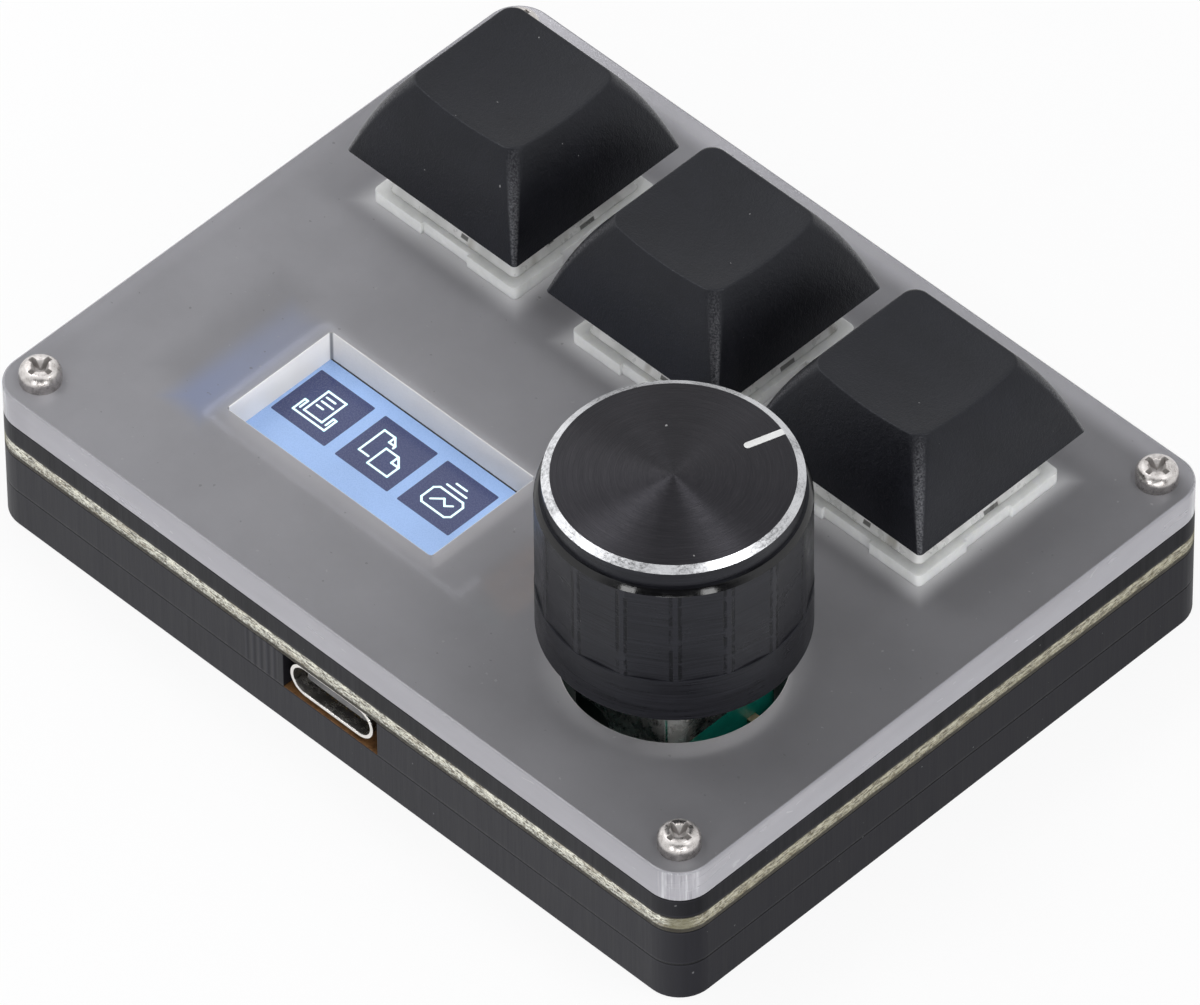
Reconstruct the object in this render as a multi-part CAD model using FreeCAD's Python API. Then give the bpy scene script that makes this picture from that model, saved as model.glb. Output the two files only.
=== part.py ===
import FreeCAD, Part
import math
import os

# Macro keypad: a stack of plates round a circuit board, with three keys, a display, a knob and a
# socket. Sizes are in millimetres. The frame's origin is the middle of the underside, +Z is up,
# the keys are at the front (-Y), the socket is at the rear (+Y) and +X is the user's right.

Vector = FreeCAD.Vector
UP = Vector(0, 0, 1)
ALONG_X = Vector(1, 0, 0)
ALONG_Y = Vector(0, 1, 0)
ORIGIN = Vector(0, 0, 0)
FULL_TURN = 360
QUARTER_TURN = 90

# Case
case_length = 75.0
case_width = 58.4
case_corner_radius = 3.0
cover_thickness = 3.9
frame_height = 3.7
frame_wall = 3.0
board_thickness = 1.6
spacer_thickness = 2.0
plate_thickness = 3.0
plate_edge_chamfer = 0.2
layer_edge_chamfer = 0.15
cut_corner_radius = 0.4
overrun = 1.0

# Screws and nuts
screw_inset = 3.0
screw_diameter = 1.95
screw_length = 13.9
screw_hole_radius = 1.1
screw_head_radius = 1.7
screw_head_height = 1.6
screw_head_rounding = 0.85
recess_reach = 1.12
recess_width = 0.46
recess_depth = 0.95
recess_mouth_radius = 0.72
nut_flats = 4.0
nut_height = 1.6
nut_clearance = 0.05
nut_pocket_depth = 2.1
nut_bore_radius = 1.0
nut_seat_gap = 0.02
boss_radius = 3.0

# Key switches
key_pitch = 21.7
key_row_x = 0.2
key_row_inset = 16.15
key_count = 3
key_travel = 4.0
switch_cut = 14.0
switch_body = 13.9
switch_foot = 13.2
switch_depth = 5.0
flange_size = 15.6
flange_height = 1.2
flange_corner_radius = 0.5
flange_notch_length = 5.0
flange_notch_depth = 0.3
switch_cavity = 11.2
switch_floor = 1.4
post_radius = 1.95
post_length = 3.3
post_hole_radius = 2.05
pin_bore_radius = 1.05
pin_bore_end_gap = 0.6
spring_boss_radius = 1.55
spring_boss_height = 1.0
spacer_switch_cut = 15.0

# Upper housing of a switch
housing_height = 6.6
housing_top_x = 11.0
housing_top_y = 10.4
housing_shoulder = 0.8
housing_roof = 1.0
housing_wall = 1.2
housing_corner_radius = 0.6
housing_window_length = 5.2
housing_window_width = 1.6
housing_window_inset = 0.7

# Stem of a switch
slider_x = 7.0
slider_y = 5.5
slider_gap = 0.12
slider_bottom = 1.2
shoulder_x = 8.0
shoulder_y = 6.4
shoulder_gap = 0.05
slider_top_above_roof = 0.1
cross_height = 3.5
cross_length = 4.1
cross_width_x = 1.3
cross_width_y = 1.15
guide_pin_radius = 0.95
guide_pin_reach = 4.4
spring_pocket_radius = 2.5
spring_pocket_depth = 3.4
leg_width = 1.2
leg_thickness = 0.8
leg_drop = 0.6
leg_spread = 3.0
leg_overlap = 0.3

# Return spring of a switch
spring_radius = 2.0
spring_wire = 0.3
spring_turns = 8
spring_end_gap = 0.05

# Contacts of a switch
contact_thickness = 0.3
leaf_thickness = 0.15
contact_width = 4.6
leaf_width = 4.2
contact_offset_y = 5.1
leaf_offset_y = 4.3
contact_height = 3.2
contact_pin_length = 3.3
contact_pin_width = 1.0
contact_pin_spread = 3.81
contact_foot_height = 0.4
contact_slot_gap = 0.04
board_pin_hole_radius = 0.75

# Keycaps
cap_base = 18.4
cap_top = 10.3
cap_height = 8.6
cap_lift = 5.7
cap_base_radius = 0.4
cap_top_radius = 1.4
cap_side_bulge = 1.55
cap_wall = 1.3
cap_dish_radius = 42.0
cap_dish_level = 7.15
cap_ceiling = 5.6
cap_mount_radius = 2.75
cap_mount_gap = 0.1
cap_cross_gap = 0.03
cap_cross_depth_gap = 0.1
cap_rim_fillet = 0.22
cap_height_shares = (0.0, 0.25, 0.5, 0.75, 1.0)

# Window and display
window_length = 22.2
window_width = 11.3
window_x = 10.9
window_y = 12.65
display_length = 27.95
display_width = 13.5
display_thickness = 1.5
display_x = 10.4
display_y = 12.2
display_wall = 0.45
display_floor = 0.55
display_gap = 0.25
glass_gap = 0.05
glass_corner_radius = 0.3
tape_length = 22.0
tape_width = 10.0
ribbon_width = 8.0
ribbon_thickness = 0.14
ribbon_drop_radius = 0.35
ribbon_foot = 3.2
ribbon_slot_gap = 0.06
ribbon_tuck = 0.2

# Encoder
knob_x = -20.8
knob_y = 12.7
knob_hole_gap = 1.036
spacer_knob_step = 0.5
encoder_size = 11.4
encoder_height = 6.5
bracket_sheet = 0.3
encoder_base_height = encoder_height - bracket_sheet
encoder_floor = 1.2
encoder_bore_radius = 5.0
dome_well_radius = 2.8
bracket_corner_radius = 1.5
bracket_side_height = 3.0
bracket_flank_height = 4.4
bracket_flank_width = 9.7
bracket_slit = 0.16
bracket_leg_width = 2.2
bracket_leg_arch = 1.6
bracket_leg_reach = 1.3
bracket_leg_gap = 0.1
bushing_radius = 3.5
bushing_height = 5.0
bushing_bore_radius = 3.05
bushing_flange_radius = 4.6
bushing_flange_height = 0.7
thread_pitch = 0.75
thread_depth = 0.3
thread_count = 5
rotor_radius = 4.7
rotor_height = 1.6
rotor_gap = 0.15
rotor_wave_count = 20
rotor_wave_depth = 0.2
rotor_wave_width = 0.5
wiper_count = 3
wiper_length = 1.6
wiper_width = 0.8
wiper_thickness = 0.12
wiper_gap = 0.02
detent_ring_radius = 4.6
detent_ring_inner_radius = 3.7
detent_thickness = 0.2
encoder_pin_width = 0.9
encoder_pin_thickness = 0.3
encoder_pin_pitch = 2.5
encoder_switch_pin_pitch = 5.0
encoder_pin_reach = 3.2
encoder_pin_tuck = 1.0
encoder_pin_row = 6.9
encoder_pin_hole_radius = 0.6
dome_radius = 2.2
dome_height = 0.75
dome_sheet = 0.15
dome_rim = 0.25
dome_seat_gap = 0.05

# Shaft
shaft_radius = 3.0
shaft_end_above_encoder = 15.0
shaft_flat_length = 9.5
shaft_flat_depth = 1.5
shaft_drive_radius = 2.2
shaft_drive_flat = 1.7
shaft_drive_gap = 0.04
shaft_tip_chamfer = 0.4
shaft_shoulder_gap = 0.1
shaft_tip_gap = 0.02
shaft_foot_radius = 2.5
shaft_foot_height = 0.3
push_travel = 0.5

# Knob
knob_top = 20.35
knob_bottom = 4.3
knob_grip_radius = 10.58
knob_skirt_radius = 10.62
knob_collar_radius = 10.0
knob_face_radius = 9.35
knob_bevel_height = 0.35
knob_collar_height = 1.4
knob_shoulder_height = 0.36
knob_grip_bottom = 8.75
knob_flat_count = 16
knob_flat_width = 3.6
knob_wall = 1.35
knob_roof = 1.6
knob_mouth_chamfer = 0.3
knob_skirt_chamfer = 0.25
pointer_length = 3.35
pointer_width = 0.62
pointer_depth = 0.15
pointer_angle_degrees = 252.0
insert_gap = 0.02
insert_lip = 2.9
insert_hub_radius = 4.9
insert_web = 1.6
insert_rib_count = 6
insert_rib_width = 1.0
insert_shaft_gap = 0.02
insert_bore_end_gap = 0.4

# Socket
socket_x = 0.0
socket_shell_width = 8.94
socket_shell_height = 3.26
socket_shell_wall = 0.3
socket_depth = 7.3
socket_setback = 0.15
socket_side_gap = 0.63
socket_leg_width = 1.0
socket_leg_height = 1.2
socket_leg_gap = 0.1
socket_leg_rear = 1.2
socket_leg_front = 5.4
tongue_width = 6.69
tongue_thickness = 0.7
tongue_length = 4.45
tongue_block_depth = 2.2
tongue_gap = 0.02
tongue_edge_radius = 0.25
contact_strip_count = 12
contact_strip_pitch = 0.5
contact_strip_width = 0.25
contact_strip_length = 3.4
contact_strip_thickness = 0.06

# Electronics under the board
lead_thickness = 0.15
chip_standoff = 0.1
chip_bevel = 0.12
controller_size = 7.0
controller_height = 1.4
controller_x = -8.0
controller_y = 4.0
controller_lead_pitch = 0.5
controller_lead_width = 0.22
controller_lead_reach = 1.0
controller_leads_per_side = 12
memory_length = 4.9
memory_width = 3.9
memory_height = 1.45
memory_x = 8.0
memory_y = 4.0
memory_lead_pitch = 1.27
memory_lead_width = 0.4
memory_lead_reach = 1.0
memory_leads_per_side = 4
regulator_length = 2.9
regulator_width = 1.6
regulator_height = 1.1
regulator_x = 10.0
regulator_inset = 9.2
regulator_lead_pitch = 0.95
regulator_lead_width = 0.35
regulator_lead_reach = 0.6
regulator_leads_per_side = 3
crystal_length = 3.2
crystal_width = 2.5
crystal_height = 0.8
crystal_x = -8.0
crystal_y = 12.5
small_part_length = 1.6
small_part_width = 0.8
resistor_height = 0.45
capacitor_height = 0.8
small_part_pitch = 2.4
resistor_row_inset = 13.5
resistor_row_y = -1.0
resistor_count = 6
capacitor_row_inset = 9.0
capacitor_row_y = 0.0
capacitor_count = 6

# Levels that follow from the sizes above
frame_level = cover_thickness
board_level = frame_level + frame_height
board_top = board_level + board_thickness
plate_level = board_top + spacer_thickness
plate_top = plate_level + plate_thickness
encoder_top = board_top + encoder_height
shaft_end = encoder_top + shaft_end_above_encoder
knob_face = plate_top + knob_top
knob_foot = plate_top + knob_bottom
knob_ceiling = knob_face - knob_roof
key_row_y = -case_width / 2 + key_row_inset
bracket_half_side = encoder_size / 2 + bracket_sheet
bracket_corner_reach = (math.hypot(bracket_half_side - bracket_corner_radius,
                                   bracket_half_side - bracket_corner_radius)
                        + bracket_corner_radius)
knob_hole_radius = bracket_corner_reach + knob_hole_gap
spacer_knob_radius = knob_hole_radius + spacer_knob_step
socket_cut_width = socket_shell_width + 2 * socket_side_gap
regulator_y = case_width / 2 - regulator_inset
resistor_row_x = -case_length / 2 + resistor_row_inset
capacitor_row_x = (case_length / 2 - capacitor_row_inset
                   - (capacitor_count - 1) * small_part_pitch)


def box(x, y, bottom, length, width, height):
    corner = Vector(x - length / 2, y - width / 2, bottom)
    return Part.makeBox(length, width, height, corner)


def disc(x, y, bottom, radius, height):
    return Part.makeCylinder(radius, height, Vector(x, y, bottom), UP)


def rounded_outline(x, y, level, length, width, radius):
    half_x = length / 2
    half_y = width / 2
    arc_middle = radius * (1 - math.sqrt(0.5))
    edges = []
    for sx, sy in ((1, 1), (-1, 1), (-1, -1), (1, -1)):
        turn = sx * sy
        side = Vector(x + sx * half_x, y + sy * (half_y - radius), level)
        end = Vector(x + sx * (half_x - radius), y + sy * half_y, level)
        middle = Vector(x + sx * (half_x - arc_middle), y + sy * (half_y - arc_middle), level)
        first, last = (side, end) if turn > 0 else (end, side)
        edges.append((first, middle, last))
    outline = []
    for index, (first, middle, last) in enumerate(edges):
        following = edges[(index + 1) % len(edges)][0]
        outline.append(Part.Arc(first, middle, last).toShape())
        outline.append(Part.LineSegment(last, following).toShape())
    return Part.Wire(outline)


def rounded_block(x, y, bottom, length, width, height, radius):
    outline = rounded_outline(x, y, bottom, length, width, radius)
    return Part.Face(outline).extrude(Vector(0, 0, height))


def prism(points, height):
    wire = Part.makePolygon(points + points[:1])
    return Part.Face(wire).extrude(height)


def group(solids):
    return Part.makeCompound(solids)


def cut_all(shape, tools):
    return shape.cut(tools)


def save(name, shape):
    shape.exportStep("parts/" + name + ".step")


def screw_places():
    reach_x = case_length / 2 - screw_inset
    reach_y = case_width / 2 - screw_inset
    return [(sx * reach_x, sy * reach_y) for sx in (1, -1) for sy in (1, -1)]


def key_places():
    middle = (key_count - 1) / 2
    return [(key_row_x + (middle - index) * key_pitch, key_row_y) for index in range(key_count)]


def edges_at(shape, level):
    found = []
    for edge in shape.Edges:
        bounds = edge.BoundBox
        if abs(bounds.ZMin - level) + abs(bounds.ZMax - level) < layer_edge_chamfer:
            found.append(edge)
    return found


def case_layer(bottom, height):
    return rounded_block(0, 0, bottom, case_length, case_width, height, case_corner_radius)


def screw_holes(bottom, height):
    cut_bottom = bottom - overrun
    cut_height = height + 2 * overrun
    return [disc(x, y, cut_bottom, screw_hole_radius, cut_height) for x, y in screw_places()]


def hexagon(x, y, bottom, flats, height):
    radius = flats / 2 / math.cos(math.radians(FULL_TURN / 12))
    points = []
    for side in range(6):
        angle = math.radians(FULL_TURN * side / 6)
        points.append(Vector(x + radius * math.cos(angle), y + radius * math.sin(angle), bottom))
    return prism(points, Vector(0, 0, height))


# Bottom cover
def make_bottom_cover():
    cover = case_layer(0, cover_thickness)
    cover = cover.makeChamfer(layer_edge_chamfer, edges_at(cover, 0))
    tools = screw_holes(0, cover_thickness)
    for x, y in screw_places():
        flats = nut_flats + 2 * nut_clearance
        tools.append(hexagon(x, y, -overrun, flats, nut_pocket_depth + overrun))
    return cut_all(cover, tools)


# Middle frame, open at the socket
def make_middle_frame():
    frame = case_layer(frame_level, frame_height)
    inner_length = case_length - 2 * frame_wall
    inner_width = case_width - 2 * frame_wall
    hollow = box(0, 0, frame_level - overrun, inner_length, inner_width, frame_height + 2 * overrun)
    bosses = []
    for x, y in screw_places():
        bosses.append(disc(x, y, frame_level, boss_radius, frame_height))
    frame = frame.cut(hollow).fuse(bosses).removeSplitter()
    tools = screw_holes(frame_level, frame_height)
    cut_y = case_width / 2
    tools.append(box(socket_x, cut_y, frame_level - overrun, socket_cut_width, 4 * frame_wall,
                     frame_height + 2 * overrun))
    return cut_all(frame, tools)


# Circuit board with the holes of everything that passes through it
def make_circuit_board():
    board = case_layer(board_level, board_thickness)
    cut_bottom = board_level - overrun
    cut_height = board_thickness + 2 * overrun
    tools = screw_holes(board_level, board_thickness)
    for x, y in key_places():
        tools.append(disc(x, y, cut_bottom, post_hole_radius, cut_height))
        for pin_x, pin_y in contact_pin_places(x, y):
            tools.append(disc(pin_x, pin_y, cut_bottom, board_pin_hole_radius, cut_height))
    for x, y in encoder_pin_places():
        tools.append(disc(x, y, cut_bottom, encoder_pin_hole_radius, cut_height))
    for side in (1, -1):
        y = knob_y + side * (encoder_size / 2 + bracket_sheet / 2)
        tools.append(box(knob_x, y, cut_bottom, bracket_leg_width + 2 * bracket_leg_gap,
                         bracket_sheet + 2 * bracket_leg_gap, cut_height))
    for x, y in socket_leg_places():
        tools.append(box(x, y, cut_bottom, socket_shell_wall + 2 * socket_leg_gap,
                         socket_leg_width + 2 * socket_leg_gap, cut_height))
    return cut_all(board, tools)


# Black plate between the board and the frosted plate
def make_spacer_plate():
    spacer = case_layer(board_top, spacer_thickness)
    cut_bottom = board_top - overrun
    cut_height = spacer_thickness + 2 * overrun
    tools = screw_holes(board_top, spacer_thickness)
    for x, y in key_places():
        tools.append(rounded_block(x, y, cut_bottom, spacer_switch_cut, spacer_switch_cut,
                                   cut_height, cut_corner_radius))
    ribbon_room = ribbon_foot + 2 * ribbon_drop_radius + display_gap
    length = display_length + 2 * display_gap + ribbon_room
    tools.append(rounded_block(display_x - ribbon_room / 2, display_y, cut_bottom, length,
                               display_width + 2 * display_gap, cut_height, cut_corner_radius))
    tools.append(disc(knob_x, knob_y, cut_bottom, spacer_knob_radius, cut_height))
    return cut_all(spacer, tools)


# Frosted plate
def make_top_plate():
    plate = case_layer(plate_level, plate_thickness)
    plate = plate.makeChamfer(plate_edge_chamfer, edges_at(plate, plate_top))
    cut_bottom = plate_level - overrun
    cut_height = plate_thickness + 2 * overrun
    tools = screw_holes(plate_level, plate_thickness)
    for x, y in key_places():
        tools.append(rounded_block(x, y, cut_bottom, switch_cut, switch_cut, cut_height,
                                   cut_corner_radius))
    tools.append(rounded_block(window_x, window_y, cut_bottom, window_length, window_width,
                               cut_height, cut_corner_radius))
    tools.append(disc(knob_x, knob_y, cut_bottom, knob_hole_radius, cut_height))
    return cut_all(plate, tools)


# Screws and nuts
def make_screw(x, y):
    head_top = plate_top + screw_head_height
    head = disc(x, y, plate_top, screw_head_radius, screw_head_height)
    head = head.makeFillet(screw_head_rounding, edges_at(head, head_top))
    shank = disc(x, y, plate_top - screw_length, screw_diameter / 2, screw_length)
    recess_bottom = head_top - recess_depth
    height = recess_depth + overrun
    tools = [box(x, y, recess_bottom, 2 * recess_reach, recess_width, height),
             box(x, y, recess_bottom, recess_width, 2 * recess_reach, height)]
    tools.append(Part.makeCone(recess_width / 2, recess_mouth_radius, recess_depth,
                               Vector(x, y, recess_bottom), UP))
    return head.fuse(shank).removeSplitter().cut(tools)


def make_nut(x, y):
    level = nut_pocket_depth - nut_height - nut_seat_gap
    nut = hexagon(x, y, level, nut_flats, nut_height)
    return nut.cut(disc(x, y, level - overrun, nut_bore_radius, nut_height + 2 * overrun))


# Key switch, lower housing
def contact_pin_places(x, y):
    return [(x - contact_pin_spread, y + contact_offset_y), (x + contact_pin_spread, y + leaf_offset_y)]


def guide_pin_bottom():
    return plate_top + slider_bottom - guide_pin_reach


def make_switch_base(x, y):
    floor_level = plate_top - switch_depth
    sections = [rounded_outline(x, y, floor_level, switch_foot, switch_foot, cut_corner_radius),
                rounded_outline(x, y, plate_top, switch_body, switch_body, cut_corner_radius)]
    body = Part.makeLoft(sections, True, True)
    flange = rounded_block(x, y, plate_top, flange_size, flange_size, flange_height,
                           flange_corner_radius)
    notches = []
    for sx, sy in ((1, 0), (-1, 0), (0, 1), (0, -1)):
        along_x = flange_notch_length if sy else 2 * flange_notch_depth
        along_y = flange_notch_length if sx else 2 * flange_notch_depth
        notches.append(box(x + sx * flange_size / 2, y + sy * flange_size / 2,
                           plate_top - overrun, along_x, along_y, flange_height + 2 * overrun))
    flange = flange.cut(notches)
    post = disc(x, y, floor_level - post_length, post_radius, post_length)
    base = body.fuse([flange, post]).removeSplitter()
    cavity_height = switch_depth + flange_height - switch_floor + overrun
    cavity = box(x, y, floor_level + switch_floor, switch_cavity, switch_cavity, cavity_height)
    base = base.cut(cavity)
    boss = disc(x, y, floor_level + switch_floor, spring_boss_radius, spring_boss_height)
    base = base.fuse(boss).removeSplitter()
    bore_bottom = guide_pin_bottom() - key_travel - pin_bore_end_gap
    tools = [disc(x, y, bore_bottom, pin_bore_radius, switch_depth + post_length)]
    gap = 2 * contact_slot_gap
    for (pin_x, pin_y), thickness in zip(contact_pin_places(x, y),
                                         (contact_thickness, leaf_thickness)):
        tools.append(box(pin_x, pin_y, floor_level - overrun, contact_pin_width + gap,
                         thickness + gap, switch_floor + 2 * overrun))
    return base.cut(tools)


# Key switch, upper housing
def make_switch_top(x, y):
    level = plate_top + flange_height
    roof_level = plate_top + housing_height
    shoulder_level = roof_level - housing_shoulder
    outer = Part.makeLoft([
        rounded_outline(x, y, level, switch_body, switch_body, housing_corner_radius),
        rounded_outline(x, y, shoulder_level, housing_top_x, housing_top_y,
                        housing_corner_radius)], True, True)
    cap = Part.makeLoft([
        rounded_outline(x, y, shoulder_level, housing_top_x, housing_top_y,
                        housing_corner_radius),
        rounded_outline(x, y, roof_level, housing_top_x - housing_shoulder,
                        housing_top_y - housing_shoulder, housing_corner_radius)], True, True)
    hollow_bottom = level - overrun
    lean = overrun * (switch_body - housing_top_x) / (shoulder_level - level)
    hollow = Part.makeLoft([
        rounded_outline(x, y, hollow_bottom, switch_body - 2 * housing_wall + lean,
                        switch_body - 2 * housing_wall + lean, housing_corner_radius),
        rounded_outline(x, y, roof_level - housing_roof, housing_top_x - 2 * housing_wall,
                        housing_top_y - 2 * housing_wall, housing_corner_radius)], True, True)
    opening = box(x, y, level, slider_x + 2 * slider_gap, slider_y + 2 * slider_gap,
                  housing_height)
    window_y_here = y - housing_top_y / 2 + housing_window_inset
    window = box(x, window_y_here, shoulder_level - overrun, housing_window_length,
                 housing_window_width, 2 * overrun + housing_shoulder)
    return outer.fuse(cap).removeSplitter().cut([hollow, opening, window])


# Key switch, sliding stem
def make_stem(x, y):
    roof_inside = plate_top + housing_height - housing_roof
    slider_level = plate_top + slider_bottom
    slider_top = plate_top + housing_height + slider_top_above_roof
    slider = box(x, y, slider_level, slider_x, slider_y, slider_top - slider_level)
    shoulder_top = roof_inside - shoulder_gap
    shoulder = box(x, y, slider_level, shoulder_x, shoulder_y, shoulder_top - slider_level)
    cross = [box(x, y, slider_top, cross_length, cross_width_y, cross_height),
             box(x, y, slider_top, cross_width_x, cross_length, cross_height)]
    legs = []
    for side in (1, -1):
        legs.append(box(x + side * leg_spread, y + shoulder_y / 2 - leg_thickness / 2,
                        slider_level - leg_drop, leg_width, leg_thickness,
                        leg_drop + leg_overlap))
    body = slider.fuse([shoulder] + cross + legs).removeSplitter()
    pocket = disc(x, y, slider_level - overrun, spring_pocket_radius,
                  spring_pocket_depth + overrun)
    pin = disc(x, y, guide_pin_bottom(), guide_pin_radius,
               spring_pocket_depth + guide_pin_reach)
    return body.cut(pocket).fuse(pin).removeSplitter()


# Unit tangent of a helix at an angle
def helix_tangent(angle, radius, rise_per_radian):
    length = math.hypot(radius, rise_per_radian)
    return Vector(-radius * math.sin(angle) / length, radius * math.cos(angle) / length,
                  rise_per_radian / length)


# One arc that starts along a tangent and ends at a point
def tangent_arc(start, tangent, end):
    chord = end - start
    normal = chord - tangent * chord.dot(tangent)
    normal.normalize()
    radius = chord.dot(chord) / (2 * chord.dot(normal))
    centre = start + normal * radius
    middle = start + end - centre * 2
    middle.normalize()
    return Part.Arc(start, centre + middle * radius, end).toShape()


# Key switch, return spring: quarter turns, each of two arcs that share a tangent
def make_key_spring(x, y):
    bottom = plate_top - switch_depth + switch_floor + spring_wire / 2 + spring_end_gap
    top = plate_top + slider_bottom + spring_pocket_depth - spring_wire / 2 - spring_end_gap
    rise_per_radian = (top - bottom) / (2 * math.pi * spring_turns)
    quarter = math.pi / 2
    edges = []
    for index in range(4 * spring_turns):
        angles = (quarter * index, quarter * (index + 1))
        ends = [Vector(x + spring_radius * math.cos(a), y + spring_radius * math.sin(a),
                       bottom + rise_per_radian * a) for a in angles]
        tangents = [helix_tangent(a, spring_radius, rise_per_radian) for a in angles]
        chord = ends[1] - ends[0]
        both = tangents[0] + tangents[1]
        spread = 2 * (1 - tangents[0].dot(tangents[1]))
        along = chord.dot(both)
        reach = (math.sqrt(along ** 2 + spread * chord.dot(chord)) - along) / spread
        joint = (ends[0] + ends[1] + (tangents[0] - tangents[1]) * reach) / 2
        middle_tangent = joint - ends[0] - tangents[0] * reach
        middle_tangent.normalize()
        edges.append(tangent_arc(ends[0], tangents[0], joint))
        edges.append(tangent_arc(joint, middle_tangent, ends[1]))
    path = Part.Wire(edges)
    start_tangent = helix_tangent(0, spring_radius, rise_per_radian)
    circle = Part.Circle(Vector(x + spring_radius, y, bottom), start_tangent, spring_wire / 2)
    return path.makePipeShell([Part.Wire(circle.toShape())], True, False)


def spring_self_gap():
    bottom = plate_top - switch_depth + switch_floor + spring_wire / 2 + spring_end_gap
    top = plate_top + slider_bottom + spring_pocket_depth - spring_wire / 2 - spring_end_gap
    return (top - bottom) / spring_turns - spring_wire


# Key switch, fixed contact and moving leaf
def make_switch_contacts(x, y):
    floor_level = plate_top - switch_depth
    foot_level = floor_level + switch_floor
    (fixed_x, fixed_y), (leaf_x, leaf_y) = contact_pin_places(x, y)
    pin_bottom = floor_level - contact_pin_length
    pin_height = foot_level - pin_bottom + contact_foot_height
    fixed_middle = fixed_x + contact_width / 2
    fixed = box(fixed_middle, fixed_y, foot_level, contact_width + contact_pin_width,
                contact_thickness, contact_height)
    fixed_pin = box(fixed_x, fixed_y, pin_bottom, contact_pin_width, contact_thickness, pin_height)
    leaf_middle = leaf_x - leaf_width / 2
    leaf = box(leaf_middle, leaf_y, foot_level, leaf_width + contact_pin_width, leaf_thickness,
               contact_height)
    leaf_pin = box(leaf_x, leaf_y, pin_bottom, contact_pin_width, leaf_thickness, pin_height)
    return group([fixed.fuse(fixed_pin).removeSplitter(), leaf.fuse(leaf_pin).removeSplitter()])


# Keycap: a rounded square that narrows upwards, with bulging sides and a dished top
def cap_section(x, y, share, inset):
    bulge = cap_side_bulge * share * (1 - share ** 2)
    side = cap_base + (cap_top - cap_base) * share + 2 * bulge - 2 * inset
    radius = cap_base_radius + (cap_top_radius - cap_base_radius) * share
    level = plate_top + cap_lift + cap_height * share
    return rounded_outline(x, y, level, side, side, radius)


def make_keycap(x, y):
    skirt = plate_top + cap_lift
    outer = Part.makeLoft([cap_section(x, y, share, 0) for share in cap_height_shares], True, False)
    dish = Part.makeSphere(cap_dish_radius)
    dish.rotate(ORIGIN, ALONG_X, QUARTER_TURN)
    dish.translate(Vector(x, y, skirt + cap_dish_level + cap_dish_radius))
    outer = outer.cut(dish)
    rim_level = skirt + cap_dish_level
    rim = [edge for edge in outer.Edges if edge.BoundBox.ZMin > rim_level]
    outer = outer.makeFillet(cap_rim_fillet, rim)
    inner_shares = [cap_ceiling / cap_height * share for share in cap_height_shares]
    inner = Part.makeLoft([cap_section(x, y, share, cap_wall) for share in inner_shares],
                          True, False)
    mouth_side = cap_base - 2 * cap_wall
    mouth = rounded_block(x, y, skirt - overrun, mouth_side, mouth_side, overrun,
                          cap_base_radius)
    cap = outer.cut([inner, mouth])
    stem_top = plate_top + housing_height + slider_top_above_roof
    mount_bottom = stem_top + cap_mount_gap
    mount_top = skirt + cap_ceiling + cap_wall / 2
    mount = disc(x, y, mount_bottom, cap_mount_radius, mount_top - mount_bottom)
    cap = cap.fuse(mount).removeSplitter()
    slot_height = cross_height - cap_mount_gap + cap_cross_depth_gap
    gap = 2 * cap_cross_gap
    slots = [box(x, y, mount_bottom - overrun, cross_length + gap, cross_width_y + gap,
                 slot_height + overrun),
             box(x, y, mount_bottom - overrun, cross_width_x + gap, cross_length + gap,
                 slot_height + overrun)]
    return cap.cut(slots)


# Display: glass in a white frame, foam tape under it, ribbon to the board
def make_display_frame():
    level = plate_level - display_thickness
    frame = box(display_x, display_y, level, display_length, display_width, display_thickness)
    inner_length = display_length - 2 * display_wall
    inner_width = display_width - 2 * display_wall
    pocket = box(display_x, display_y, level + display_floor, inner_length, inner_width,
                 display_thickness)
    end_x = display_x - display_length / 2
    slot = box(end_x, display_y, level + display_floor, 4 * display_wall,
               ribbon_width + 2 * ribbon_slot_gap, display_thickness)
    return frame.cut([pocket, slot])


def make_display_glass():
    level = plate_level - display_thickness + display_floor + ribbon_thickness
    length = display_length - 2 * display_wall - 2 * glass_gap
    width = display_width - 2 * display_wall - 2 * glass_gap
    height = plate_level - level
    return rounded_block(display_x, display_y, level, length, width, height, glass_corner_radius)


def make_display_tape():
    level = board_top
    height = plate_level - display_thickness - level
    return rounded_block(display_x, display_y, level, tape_length, tape_width, height,
                         glass_corner_radius)


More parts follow.
